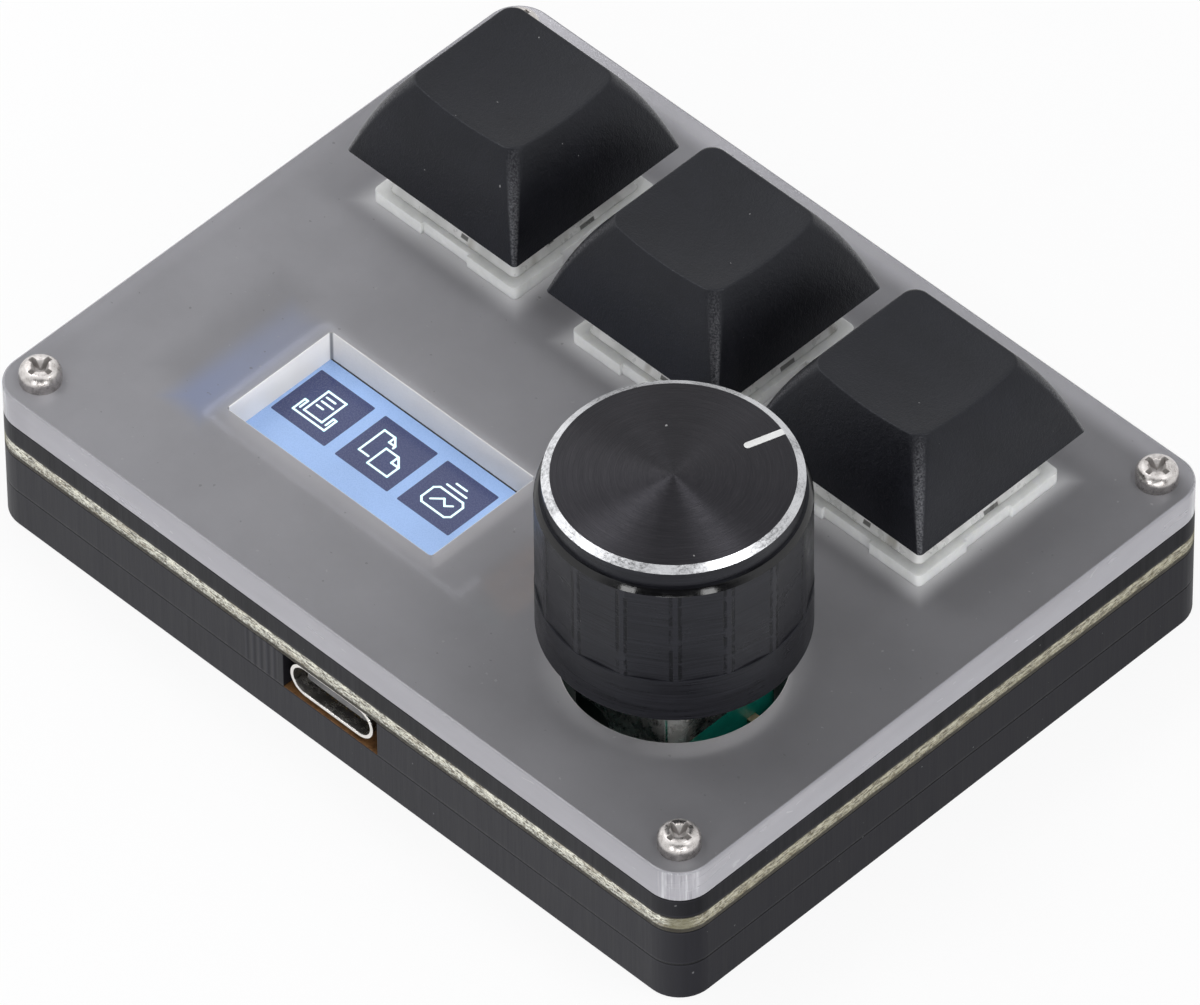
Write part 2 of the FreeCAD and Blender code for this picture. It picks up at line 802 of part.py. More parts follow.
def make_display_ribbon():
    upper = plate_level - display_thickness + display_floor + ribbon_thickness / 2
    lower = board_top + ribbon_thickness / 2
    frame_end = display_x - display_length / 2
    start = frame_end + display_wall + glass_gap + ribbon_tuck
    radius = ribbon_drop_radius
    bend_x = frame_end - radius
    low = lower
    points = [Vector(start, 0, upper), Vector(bend_x, 0, upper),
              Vector(bend_x - radius, 0, upper - radius),
              Vector(bend_x - radius, 0, low + radius),
              Vector(bend_x - 2 * radius, 0, low),
              Vector(bend_x - 2 * radius - ribbon_foot, 0, low)]
    knee = radius * math.sqrt(0.5)
    first_middle = Vector(bend_x - knee, 0, upper - radius + knee)
    second_middle = Vector(bend_x - 2 * radius + knee, 0, low + radius - knee)
    edges = [Part.LineSegment(points[0], points[1]).toShape(),
             Part.Arc(points[1], first_middle, points[2]).toShape(),
             Part.LineSegment(points[2], points[3]).toShape(),
             Part.Arc(points[3], second_middle, points[4]).toShape(),
             Part.LineSegment(points[4], points[5]).toShape()]
    path = Part.Wire(edges)
    profile = Part.makePolygon([
        Vector(start, -ribbon_width / 2, upper - ribbon_thickness / 2),
        Vector(start, ribbon_width / 2, upper - ribbon_thickness / 2),
        Vector(start, ribbon_width / 2, upper + ribbon_thickness / 2),
        Vector(start, -ribbon_width / 2, upper + ribbon_thickness / 2),
        Vector(start, -ribbon_width / 2, upper - ribbon_thickness / 2)])
    ribbon = path.makePipeShell([profile], True, True)
    ribbon.translate(Vector(0, display_y, 0))
    return ribbon


# Encoder
def encoder_pin_places():
    inner = [(knob_x + encoder_pin_row, knob_y + side * encoder_pin_pitch) for side in (-1, 0, 1)]
    outer = [(knob_x - encoder_pin_row, knob_y + side * encoder_switch_pin_pitch / 2)
             for side in (-1, 1)]
    return inner + outer


def make_encoder_base():
    base = rounded_block(knob_x, knob_y, board_top, encoder_size, encoder_size,
                         encoder_base_height, bracket_corner_radius - bracket_sheet)
    bore_level = rotor_level() - wiper_thickness - wiper_gap
    tools = [disc(knob_x, knob_y, bore_level, encoder_bore_radius, encoder_height),
             disc(knob_x, knob_y, board_top + encoder_floor, dome_well_radius, encoder_height)]
    for x, y in encoder_pin_places():
        side = 1 if x > knob_x else -1
        tools.append(box(knob_x + side * encoder_size / 2, y,
                         board_top + encoder_pin_thickness - contact_slot_gap,
                         2 * (encoder_pin_tuck + contact_slot_gap),
                         encoder_pin_width + 2 * contact_slot_gap,
                         encoder_pin_thickness + 2 * contact_slot_gap))
    return base.cut(tools)


# Leg of the bracket, with curved shoulders where it leaves the flank
def bracket_leg(y):
    shoulder = encoder_top - bracket_flank_height
    reach = bracket_leg_width / 2 + bracket_leg_arch
    blank = box(knob_x, y, shoulder - bracket_leg_arch, 2 * reach, bracket_sheet,
                bracket_leg_arch)
    arches = []
    for side in (1, -1):
        centre = Vector(knob_x + side * reach, y - bracket_sheet, shoulder - bracket_leg_arch)
        arches.append(Part.makeCylinder(bracket_leg_arch, 2 * bracket_sheet, centre, ALONG_Y))
    leg_bottom = board_top - bracket_leg_reach
    leg = box(knob_x, y, leg_bottom, bracket_leg_width, bracket_sheet, shoulder - leg_bottom)
    return blank.cut(arches).fuse(leg)


def make_encoder_bracket():
    sheet_level = encoder_top - bracket_sheet
    outer_size = encoder_size + 2 * bracket_sheet
    side_level = encoder_top - bracket_side_height
    can = rounded_block(knob_x, knob_y, side_level, outer_size, outer_size, bracket_side_height,
                        bracket_corner_radius)
    hollow = rounded_block(knob_x, knob_y, side_level - overrun, encoder_size, encoder_size,
                           sheet_level - side_level + overrun,
                           bracket_corner_radius - bracket_sheet)
    can = can.cut(hollow)
    pieces = []
    slits = []
    flank_level = encoder_top - bracket_flank_height
    for side in (1, -1):
        y = knob_y + side * (encoder_size / 2 + bracket_sheet / 2)
        pieces.append(box(knob_x, y, flank_level, bracket_flank_width, bracket_sheet,
                          bracket_flank_height))
        pieces.append(bracket_leg(y))
        for end in (1, -1):
            x = knob_x + end * (bracket_flank_width + bracket_slit) / 2
            slits.append(box(x, y, flank_level, bracket_slit, 2 * bracket_sheet,
                             sheet_level - flank_level))
    bracket = can.fuse(pieces).removeSplitter()
    slits.append(disc(knob_x, knob_y, sheet_level - overrun, bushing_radius + shaft_drive_gap,
                      encoder_height))
    return bracket.cut(slits)


def make_encoder_bushing():
    sheet_level = board_top + encoder_base_height
    flange_level = sheet_level - bushing_flange_height
    flange = disc(knob_x, knob_y, flange_level, bushing_flange_radius, bushing_flange_height)
    barrel = disc(knob_x, knob_y, flange_level, bushing_radius,
                  encoder_top + bushing_height - flange_level)
    bushing = flange.fuse(barrel).removeSplitter()
    tools = [disc(knob_x, knob_y, flange_level - overrun, bushing_bore_radius,
                  encoder_height + bushing_height + overrun)]
    root_radius = bushing_radius - thread_depth
    for index in range(thread_count):
        bottom = encoder_top + thread_pitch * index + thread_pitch / 2
        middle = bottom + thread_pitch / 2
        ring = disc(knob_x, knob_y, bottom, bushing_radius + overrun, thread_pitch)
        lower = Part.makeCone(bushing_radius, root_radius, thread_pitch / 2,
                              Vector(knob_x, knob_y, bottom), UP)
        upper = Part.makeCone(root_radius, bushing_radius, thread_pitch / 2,
                              Vector(knob_x, knob_y, middle), UP)
        tools.append(ring.cut([lower, upper]))
    return bushing.cut(tools)


def drive_outline(bottom, height, growth):
    # Round core with two flats, so the shaft turns the rotor and slides through it
    core = disc(knob_x, knob_y, bottom, shaft_drive_radius + growth, height)
    flats = box(knob_x, knob_y, bottom, 2 * (shaft_drive_radius + overrun),
                2 * (shaft_drive_flat + growth), height)
    return core.common(flats)


def rotor_level():
    return board_top + encoder_floor + dome_height + push_travel


def make_encoder_rotor():
    level = rotor_level()
    rotor = disc(knob_x, knob_y, level, rotor_radius, rotor_height)
    tools = [drive_outline(level - overrun, rotor_height + 2 * overrun, shaft_drive_gap)]
    wave_radius = (detent_ring_radius + detent_ring_inner_radius) / 2
    for index in range(rotor_wave_count):
        wave = box(wave_radius, 0, level + rotor_height - rotor_wave_depth,
                   detent_ring_radius - detent_ring_inner_radius + rotor_wave_width,
                   rotor_wave_width, rotor_wave_depth + overrun)
        wave.rotate(ORIGIN, UP, FULL_TURN * index / rotor_wave_count)
        wave.translate(Vector(knob_x, knob_y, 0))
        tools.append(wave)
    return rotor.cut(tools)


def make_encoder_wipers():
    level = rotor_level() - wiper_thickness
    wipers = []
    for index in range(wiper_count):
        wiper = box(rotor_radius - wiper_length / 2 - rotor_gap, 0, level, wiper_length,
                    wiper_width, wiper_thickness)
        wiper.rotate(ORIGIN, UP, FULL_TURN * index / wiper_count)
        wiper.translate(Vector(knob_x, knob_y, 0))
        wipers.append(wiper)
    return group(wipers)


def make_encoder_detent():
    level = board_top + encoder_base_height - bushing_flange_height - detent_thickness
    ring = disc(knob_x, knob_y, level, detent_ring_radius, detent_thickness)
    hole = disc(knob_x, knob_y, level - overrun, detent_ring_inner_radius,
                detent_thickness + 2 * overrun)
    return ring.cut(hole)


def make_encoder_pins():
    pins = []
    for x, y in encoder_pin_places():
        side = 1 if x > knob_x else -1
        inner_x = knob_x + side * (encoder_size / 2 - encoder_pin_tuck)
        outer_x = x + side * encoder_pin_thickness / 2
        arm_level = board_top + encoder_pin_thickness
        arm = box((inner_x + outer_x) / 2, y, arm_level, abs(outer_x - inner_x),
                  encoder_pin_width, encoder_pin_thickness)
        leg_bottom = board_top - encoder_pin_reach
        leg = box(x, y, leg_bottom, encoder_pin_thickness, encoder_pin_width,
                  arm_level + encoder_pin_thickness - leg_bottom)
        pins.append(arm.fuse(leg).removeSplitter())
    return group(pins)


def make_push_dome():
    level = board_top + encoder_floor
    rise = dome_height - dome_seat_gap
    sphere_radius = (dome_radius ** 2 + rise ** 2) / (2 * rise)
    centre = Vector(knob_x, knob_y, level + rise - sphere_radius)
    outer = Part.makeSphere(sphere_radius, centre)
    inner = Part.makeSphere(sphere_radius - dome_sheet, centre)
    slab = disc(knob_x, knob_y, level, dome_radius, dome_height)
    shell = outer.common(slab).cut(inner)
    rim = disc(knob_x, knob_y, level, dome_radius + dome_rim, dome_sheet)
    rim = rim.cut(disc(knob_x, knob_y, level - overrun, dome_radius - dome_rim, 2 * overrun))
    return shell.fuse(rim).removeSplitter()


# Shaft
def make_encoder_shaft():
    drive_bottom = board_top + encoder_floor + dome_height + shaft_tip_gap
    drive_top = board_top + encoder_base_height - bushing_flange_height
    shoulder_level = rotor_level() + rotor_height + push_travel + shaft_shoulder_gap
    drive_height = max(drive_top, shoulder_level) - drive_bottom
    drive = drive_outline(drive_bottom, drive_height, 0)
    foot = disc(knob_x, knob_y, drive_bottom, shaft_foot_radius, shaft_foot_height)
    body_level = drive_bottom + drive_height
    body = disc(knob_x, knob_y, body_level, shaft_radius, shaft_end - body_level)
    tip = [edge for edge in body.Edges if edge.BoundBox.ZMin > shaft_end - shaft_tip_chamfer]
    body = body.makeChamfer(shaft_tip_chamfer, tip)
    flat = box(knob_x, knob_y - shaft_radius, shaft_end - shaft_flat_length,
               2 * shaft_radius + overrun, 2 * shaft_flat_depth, shaft_flat_length + overrun)
    return drive.fuse([foot, body.cut(flat)]).removeSplitter()


# Knob shell: turned profile, flats milled round the grip, pointer groove in the face
def knob_profile():
    collar_top = knob_face - knob_bevel_height
    collar_bottom = collar_top - knob_collar_height
    grip_top = collar_bottom - knob_shoulder_height
    inner = knob_grip_radius - knob_wall
    skirt_join = plate_top + knob_grip_bottom
    return [(0, knob_ceiling), (inner, knob_ceiling), (inner, knob_foot + knob_mouth_chamfer),
            (inner + knob_mouth_chamfer, knob_foot),
            (knob_skirt_radius - knob_skirt_chamfer, knob_foot),
            (knob_skirt_radius, knob_foot + knob_skirt_chamfer),
            (knob_skirt_radius, skirt_join), (knob_grip_radius, skirt_join),
            (knob_grip_radius, grip_top), (knob_collar_radius, collar_bottom),
            (knob_collar_radius, collar_top), (knob_face_radius, knob_face), (0, knob_face)]


def make_knob_shell():
    points = [Vector(radius, 0, level) for radius, level in knob_profile()]
    face = Part.Face(Part.makePolygon(points + points[:1]))
    shell = face.revolve(ORIGIN, UP, FULL_TURN)
    grip_top = knob_face - knob_bevel_height - knob_collar_height - knob_shoulder_height
    grip_bottom = plate_top + knob_grip_bottom
    flat_distance = math.sqrt(knob_grip_radius ** 2 - (knob_flat_width / 2) ** 2)
    tools = []
    for index in range(knob_flat_count):
        flat = box(flat_distance + overrun, 0, grip_bottom, 2 * overrun,
                   knob_flat_width + knob_wall, grip_top - grip_bottom)
        flat.rotate(ORIGIN, UP, FULL_TURN * (index + 0.5) / knob_flat_count)
        tools.append(flat)
    pointer_middle = knob_face_radius - pointer_length / 2
    pointer = box(pointer_middle + overrun / 2, 0, knob_face - pointer_depth,
                  pointer_length + overrun, pointer_width, pointer_depth + overrun)
    pointer.rotate(ORIGIN, UP, pointer_angle_degrees)
    tools.append(pointer)
    shell = shell.cut(tools)
    shell.translate(Vector(knob_x, knob_y, 0))
    return shell


# Moulded hub that grips the shaft inside the knob
def make_knob_insert():
    radius = knob_grip_radius - knob_wall - insert_gap
    level = knob_foot + insert_lip
    height = knob_ceiling - insert_gap - level
    web = disc(knob_x, knob_y, level + height - insert_web, radius, insert_web)
    hub = disc(knob_x, knob_y, level, insert_hub_radius, height)
    ribs = []
    for index in range(insert_rib_count):
        rib = box(radius / 2, 0, level, radius, insert_rib_width, height - insert_web / 2)
        rib.rotate(ORIGIN, UP, FULL_TURN * index / insert_rib_count)
        rib.translate(Vector(knob_x, knob_y, 0))
        ribs.append(rib)
    body = web.fuse([hub] + ribs).common(disc(knob_x, knob_y, level, radius, height))
    body = body.removeSplitter()
    bore_radius = shaft_radius + insert_shaft_gap
    bore_top = shaft_end + insert_bore_end_gap
    bore = disc(knob_x, knob_y, level - overrun, bore_radius, bore_top - level + overrun)
    flat_y = knob_y - shaft_radius + shaft_flat_depth - insert_shaft_gap
    key = box(knob_x, flat_y - bore_radius / 2, shaft_end - shaft_flat_length + insert_bore_end_gap
              + push_travel, 2 * bore_radius, bore_radius, shaft_flat_length + overrun)
    return body.cut(bore.cut(key))


# Socket
def socket_front():
    return case_width / 2 - socket_setback


def socket_middle_level():
    return board_level - socket_shell_height / 2


def socket_leg_places():
    places = []
    for side in (1, -1):
        for depth in (socket_leg_rear, socket_leg_front):
            x = socket_x + side * (socket_shell_width / 2 - socket_shell_wall / 2)
            y = socket_front() - socket_depth + depth
            places.append((x, y))
    return places


def stadium(width, height, front, depth):
    # A flat-sided oval across X, extruded towards the front of the case
    radius = height / 2
    reach = width / 2 - radius
    level = socket_middle_level()
    top_right = Vector(socket_x + reach, front, level + radius)
    right = Vector(socket_x + reach + radius, front, level)
    bottom_right = Vector(socket_x + reach, front, level - radius)
    bottom_left = Vector(socket_x - reach, front, level - radius)
    left = Vector(socket_x - reach - radius, front, level)
    top_left = Vector(socket_x - reach, front, level + radius)
    wire = Part.Wire([Part.Arc(top_right, right, bottom_right).toShape(),
                      Part.LineSegment(bottom_right, bottom_left).toShape(),
                      Part.Arc(bottom_left, left, top_left).toShape(),
                      Part.LineSegment(top_left, top_right).toShape()])
    return Part.Face(wire).extrude(Vector(0, -depth, 0))


def make_usb_shell():
    outer = stadium(socket_shell_width, socket_shell_height, socket_front(), socket_depth)
    inner = stadium(socket_shell_width - 2 * socket_shell_wall,
                    socket_shell_height - 2 * socket_shell_wall, socket_front() + overrun,
                    socket_depth + 2 * overrun)
    legs = []
    for x, y in socket_leg_places():
        legs.append(box(x, y, socket_middle_level(), socket_shell_wall, socket_leg_width,
                        socket_shell_height / 2 + socket_leg_height))
    return outer.fuse(legs).removeSplitter().cut(inner)


def strip_places():
    middle = (contact_strip_count - 1) / 2
    return [socket_x + (index - middle) * contact_strip_pitch
            for index in range(contact_strip_count)]


def contact_strips():
    start = socket_front() - socket_depth + tongue_block_depth
    strips = []
    for x in strip_places():
        for side in (1, -1):
            surface = socket_middle_level() + side * tongue_thickness / 2
            level = surface - contact_strip_thickness / 2 - side * contact_strip_thickness / 2
            strips.append(box(x, start + contact_strip_length / 2, level, contact_strip_width,
                              contact_strip_length, contact_strip_thickness))
    return strips


def make_usb_tongue():
    gap = 2 * (socket_shell_wall + tongue_gap)
    rear = socket_front() - socket_depth
    block = stadium(socket_shell_width - gap, socket_shell_height - gap,
                    rear + tongue_block_depth, tongue_block_depth)
    tongue = box(socket_x, rear + tongue_block_depth + tongue_length / 2,
                 socket_middle_level() - tongue_thickness / 2, tongue_width, tongue_length,
                 tongue_thickness)
    front_y = rear + tongue_block_depth + tongue_length
    corners = [edge for edge in tongue.Edges
               if edge.BoundBox.ZLength > tongue_thickness / 2
               and edge.BoundBox.YMin > front_y - tongue_edge_radius]
    tongue = tongue.makeFillet(tongue_edge_radius, corners)
    return block.fuse(tongue).removeSplitter().cut(contact_strips())


# Electronics
def chip_body(x, y, length, width, height):
    top = board_level - chip_standoff
    body = box(x, y, top - height, length, width, height)
    edges = [edge for edge in body.Edges if edge.BoundBox.ZMax < top - height + chip_bevel]
    return body.makeChamfer(chip_bevel, edges)


def gull_lead(reach, width, drop):
    # One bent lead along +X, its foot flat on the board, made at the origin
    foot = reach / 2
    points = [Vector(0, 0, -drop), Vector(reach - foot, 0, -drop),
              Vector(reach - foot, 0, -lead_thickness), Vector(reach, 0, -lead_thickness),
              Vector(reach, 0, 0), Vector(reach - foot - lead_thickness, 0, 0),
              Vector(reach - foot - lead_thickness, 0, lead_thickness - drop),
              Vector(0, 0, lead_thickness - drop)]
    lead = prism(points, Vector(0, width, 0))
    lead.translate(Vector(0, -width / 2, 0))
    return lead


def lead_row(x, y, half, pitch, count, reach, width, drop, turn_degrees):
    leads = []
    for index in range(count):
        lead = gull_lead(reach, width, drop)
        lead.translate(Vector(half, (index - (count - 1) / 2) * pitch, 0))
        lead.rotate(ORIGIN, UP, turn_degrees)
        lead.translate(Vector(x, y, board_level))
        leads.append(lead)
    return leads


def make_chip_leads():
    leads = []
    drop = chip_standoff + controller_height / 2
    for turn in (0, 90, 180, 270):
        leads += lead_row(controller_x, controller_y, controller_size / 2,
                          controller_lead_pitch, controller_leads_per_side,
                          controller_lead_reach, controller_lead_width, drop, turn)
    drop = chip_standoff + memory_height / 2
    for turn in (90, 270):
        leads += lead_row(memory_x, memory_y, memory_width / 2, memory_lead_pitch,
                          memory_leads_per_side, memory_lead_reach, memory_lead_width, drop, turn)
    drop = chip_standoff + regulator_height / 2
    for turn in (90, 270):
        leads += lead_row(regulator_x, regulator_y, regulator_width / 2, regulator_lead_pitch,
                          regulator_leads_per_side, regulator_lead_reach, regulator_lead_width,
                          drop, turn)
    return group(leads)


def small_part_row(x, y, height, count):
    parts = []
    for index in range(count):
        parts.append(box(x + index * small_part_pitch, y, board_level - height,
                         small_part_width, small_part_length, height))
    return parts


def make_crystal_can():
    level = board_level - crystal_height
    return rounded_block(crystal_x, crystal_y, level, crystal_length, crystal_width,
                         crystal_height, glass_corner_radius)


def main():
    os.makedirs("parts", exist_ok=True)
    save("bottom_cover", make_bottom_cover())
    save("middle_frame", make_middle_frame())
    save("circuit_board", make_circuit_board())
    save("spacer_plate", make_spacer_plate())
    save("top_plate", make_top_plate())
    save("case_screws", group([make_screw(x, y) for x, y in screw_places()]))
    save("case_nuts", group([make_nut(x, y) for x, y in screw_places()]))
    for index, (x, y) in enumerate(key_places()):
        number = str(index + 1)
        save("switch_base_" + number, make_switch_base(x, y))
        save("switch_top_" + number, make_switch_top(x, y))
        save("switch_contacts_" + number, make_switch_contacts(x, y))
        save("key_spring_" + number, make_key_spring(x, y))
        save("stem_" + number, make_stem(x, y))
        save("keycap_" + number, make_keycap(x, y))
    print("spring gap between turns", round(spring_self_gap(), 3))
    save("display_frame", make_display_frame())
    save("display_glass", make_display_glass())
    save("display_tape", make_display_tape())
    save("display_ribbon", make_display_ribbon())
    save("encoder_base", make_encoder_base())
    save("encoder_bracket", make_encoder_bracket())
    save("encoder_bushing", make_encoder_bushing())
    save("encoder_rotor", make_encoder_rotor())
    save("encoder_wipers", make_encoder_wipers())
    save("encoder_detent", make_encoder_detent())
    save("encoder_pins", make_encoder_pins())
    save("push_dome", make_push_dome())
    save("encoder_shaft", make_encoder_shaft())
    save("knob_shell", make_knob_shell())
    save("knob_insert", make_knob_insert())
    save("usb_shell", make_usb_shell())
    save("usb_tongue", make_usb_tongue())
    save("usb_contacts", group(contact_strips()))
    save("controller_chip", chip_body(controller_x, controller_y, controller_size,
                                      controller_size, controller_height))
    save("memory_chip", chip_body(memory_x, memory_y, memory_length, memory_width,
                                  memory_height))
    save("regulator_chip", chip_body(regulator_x, regulator_y, regulator_length,
                                     regulator_width, regulator_height))
    save("chip_leads", make_chip_leads())
    save("crystal_can", make_crystal_can())
    save("chip_resistors", group(small_part_row(resistor_row_x, resistor_row_y,
                                                resistor_height, resistor_count)))
    save("chip_capacitors", group(small_part_row(capacitor_row_x, capacitor_row_y,
                                                 capacitor_height, capacitor_count)))


main()
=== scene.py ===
import math

import bmesh
import bpy
from bpy.props import FloatProperty, FloatVectorProperty, IntProperty, PointerProperty
from bpy.types import Operator, Panel, PropertyGroup
from mathutils import Matrix, Vector


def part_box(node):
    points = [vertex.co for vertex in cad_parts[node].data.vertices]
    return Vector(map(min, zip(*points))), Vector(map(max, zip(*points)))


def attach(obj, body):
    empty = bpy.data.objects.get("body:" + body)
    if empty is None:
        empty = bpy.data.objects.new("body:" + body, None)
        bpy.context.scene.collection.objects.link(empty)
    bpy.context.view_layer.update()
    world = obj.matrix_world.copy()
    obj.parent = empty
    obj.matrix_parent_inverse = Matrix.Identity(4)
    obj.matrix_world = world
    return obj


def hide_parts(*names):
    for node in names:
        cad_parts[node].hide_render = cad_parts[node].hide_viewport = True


bl_info = {
    "name": "Macro keypad looks",
    "version": (1, 0, 0),
    "blender": (4, 5, 0),
    "location": "View3D > Sidebar > Keypad",
    "description": "Dresses the macro keypad: frosted plate, keycaps, knob, display and case",
    "category": "Object",
}

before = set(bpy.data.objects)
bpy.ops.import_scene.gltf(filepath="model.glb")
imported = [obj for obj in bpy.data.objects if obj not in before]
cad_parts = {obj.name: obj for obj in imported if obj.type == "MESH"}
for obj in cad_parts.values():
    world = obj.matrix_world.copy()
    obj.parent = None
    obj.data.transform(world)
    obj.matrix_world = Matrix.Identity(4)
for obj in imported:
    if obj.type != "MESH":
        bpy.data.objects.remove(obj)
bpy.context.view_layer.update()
MM = 0.001


def span(node):
    """Lowest corner, highest corner and middle of a node, in metres."""
    low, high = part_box(node)
    return low, high, (low + high) / 2


PLATE_LOW, PLATE_HIGH, PLATE_MIDDLE = span("top_plate")
KNOB_LOW, KNOB_HIGH, KNOB_MIDDLE = span("knob_shell")
GLASS_LOW, GLASS_HIGH, GLASS_MIDDLE = span("display_glass")
KEYS = "123"

# The case seen from above, in millimetres
WINDOW_MIDDLE = (10.9, 12.65)
SCREW_REACH = (34.5, 26.2)
CUTOUT_SIDE = 14.0
FLANGE_SIDE = 15.4
KNOB_HOLE_RADIUS = 8.9
RECESS_HALF_WIDTH, RECESS_END = 6.8, 22.25
# Two strips of the plate beside the window, painted shade and painted bluish light: middle, length
# and width
SHADED_STRIP = ((27.4, 12.0), 1.2, 11.0)
LIT_STRIP = ((24.5, 13.8), 1.4, 11.4)

# Levels and radius of the knob's face, collar and grip, in metres
KNOB_FACE = KNOB_HIGH.z - 0.02 * MM
COLLAR_TOP = KNOB_FACE - 0.35 * MM
COLLAR_LOW = COLLAR_TOP - 1.4 * MM
GRIP_HIGH = COLLAR_LOW - 0.5 * MM
GRIP_LOW = 22.95 * MM
GRIP_RADIUS = 10.58 * MM

# Values that every colour setting shares
COLOUR = {"size": 3, "min": 0.0, "max": 1.0, "subtype": "COLOR"}


# Settings
class KeypadCaseSettings(PropertyGroup):
    """Sizes and colours of the case and its frosted plate."""

    frost_colour: FloatVectorProperty(
        name="Frosted face", description="Colour of the frosted upper face",
        default=(0.58, 0.575, 0.605), **COLOUR)
    edge_colour: FloatVectorProperty(
        name="Cut edge", description="Colour of the plate's cut outer edge",
        default=(0.415, 0.408, 0.44), **COLOUR)
    wall_colour: FloatVectorProperty(
        name="Cut walls", description="Colour of the walls of the plate's openings",
        default=(0.90, 0.88, 0.865), **COLOUR)
    frost_roughness: FloatProperty(
        name="Frost", description="How far the frosted face blurs what lies under it",
        default=0.42, min=0.05, max=1.0, subtype="FACTOR")
    rounding: FloatProperty(
        name="Edge rounding", description="Radius of the plate's outer upper edge",
        default=0.2 * MM, min=0.02 * MM, max=0.6 * MM, unit="LENGTH")
    air_gap: FloatProperty(
        name="Air gap", description="Air under the frosted plate",
        default=0.02 * MM, min=0.0, max=0.1 * MM, unit="LENGTH")
    window_length: FloatProperty(
        name="Window length", description="Length of the display window",
        default=22.2 * MM, min=15 * MM, max=26 * MM, unit="LENGTH")
    window_width: FloatProperty(
        name="Window width", description="Width of the display window",
        default=11.3 * MM, min=8 * MM, max=14 * MM, unit="LENGTH")
    layer_colour: FloatVectorProperty(
        name="Black layers", description="Colour of the black sheet layers",
        default=(0.0112, 0.0110, 0.0142), **COLOUR)
    burnt_colour: FloatVectorProperty(
        name="Socket recess", description="Brown of the laser-cut recess round the socket",
        default=(0.17, 0.085, 0.035), **COLOUR)
    fibre_colour: FloatVectorProperty(
        name="Board edge", description="Colour of the sawn edge of the circuit board",
        default=(0.52, 0.51, 0.435), **COLOUR)


class KeypadKeySettings(PropertyGroup):
    """Sizes and colours of the keycaps and the switches under them."""

    cap_colour: FloatVectorProperty(
        name="Keycap", description="Colour of the keycap plastic",
        default=(0.0068, 0.0070, 0.0095), **COLOUR)
    cap_base: FloatProperty(
        name="Skirt side", description="Side of the keycap's square skirt",
        default=18.4 * MM, min=16 * MM, max=19 * MM, unit="LENGTH")
    cap_top: FloatProperty(
        name="Top side", description="Side that the cap's faces lean to at their full height",
        default=10.3 * MM, min=8 * MM, max=15 * MM, unit="LENGTH")
    cap_height: FloatProperty(
        name="Full height", description="Height at which the leaning faces reach the top side",
        default=8.6 * MM, min=6 * MM, max=12 * MM, unit="LENGTH")
    cap_bulge: FloatProperty(
        name="Bulge", description="How far the leaning faces bow outwards",
        default=1.55 * MM, min=0.0, max=3 * MM, unit="LENGTH")
    dish_radius: FloatProperty(
        name="Dish radius", description="Radius of the spherical dish in the top",
        default=42 * MM, min=20 * MM, max=90 * MM, unit="LENGTH")
    dish_level: FloatProperty(
        name="Dish level", description="Height of the middle of the dish above the skirt",
        default=7.15 * MM, min=5 * MM, max=9 * MM, unit="LENGTH")
    rim_rounding: FloatProperty(
        name="Rim rounding", description="Radius of the rim round the dish",
        default=0.12 * MM, min=0.05 * MM, max=0.5 * MM, unit="LENGTH")
    wall: FloatProperty(
        name="Wall", description="Thickness of the keycap's wall",
        default=1.3 * MM, min=0.8 * MM, max=2 * MM, unit="LENGTH")
    housing_colour: FloatVectorProperty(
        name="Switch housing", description="Colour of the milky lower switch housing",
        default=(0.88, 0.89, 0.87), **COLOUR)


class KeypadKnobSettings(PropertyGroup):
    """Sizes and colours of the knob."""

    shell_colour: FloatVectorProperty(
        name="Anodised colour", description="Colour of the anodised aluminium",
        default=(0.0095, 0.0095, 0.0118), **COLOUR)
    bevel_colour: FloatVectorProperty(
        name="Bright bevel", description="Colour of the bright turned bevel",
        default=(0.59, 0.595, 0.615), **COLOUR)
    flats: IntProperty(
        name="Flats", description="Number of flats round the grip", default=16, min=8, max=32)
    flat_width: FloatProperty(
        name="Flat width", description="Width of each flat",
        default=3.6 * MM, min=1 * MM, max=4 * MM, unit="LENGTH")
    groove_pitch: FloatProperty(
        name="Turning pitch", description="Distance between the turning grooves of the face",
        default=0.16 * MM, min=0.05 * MM, max=0.6 * MM, unit="LENGTH")
    pointer_length: FloatProperty(
        name="Pointer length", description="Length of the pointer line",
        default=3.35 * MM, min=1 * MM, max=6 * MM, unit="LENGTH")
    pointer_width: FloatProperty(
        name="Pointer width", description="Width of the pointer line",
        default=0.62 * MM, min=0.2 * MM, max=1.5 * MM, unit="LENGTH")
    pointer_angle: FloatProperty(
        name="Pointer angle", description="Direction of the pointer, from +X",
        default=math.radians(252.0), subtype="ANGLE")


class KeypadScreenSettings(PropertyGroup):
    """Colours and brightness of the display's picture."""

    ground_colour: FloatVectorProperty(
        name="Ground", description="Colour of the picture's ground",
        default=(0.242, 0.365, 0.61), **COLOUR)
    tile_colour: FloatVectorProperty(
        name="Tile", description="Colour of the three tiles",
        default=(0.026, 0.036, 0.105), **COLOUR)
    sign_colour: FloatVectorProperty(
        name="Pictogram", description="Colour of the pictogram lines",
        default=(0.74, 0.93, 0.95), **COLOUR)
    glow: FloatProperty(
        name="Glow", description="Share of the picture's light that comes from the screen",
        default=0.5, min=0.0, max=1.0, subtype="FACTOR")
    line_width: FloatProperty(
        name="Line width", description="Width of the pictogram lines",
        default=0.19 * MM, min=0.05 * MM, max=0.4 * MM, unit="LENGTH")


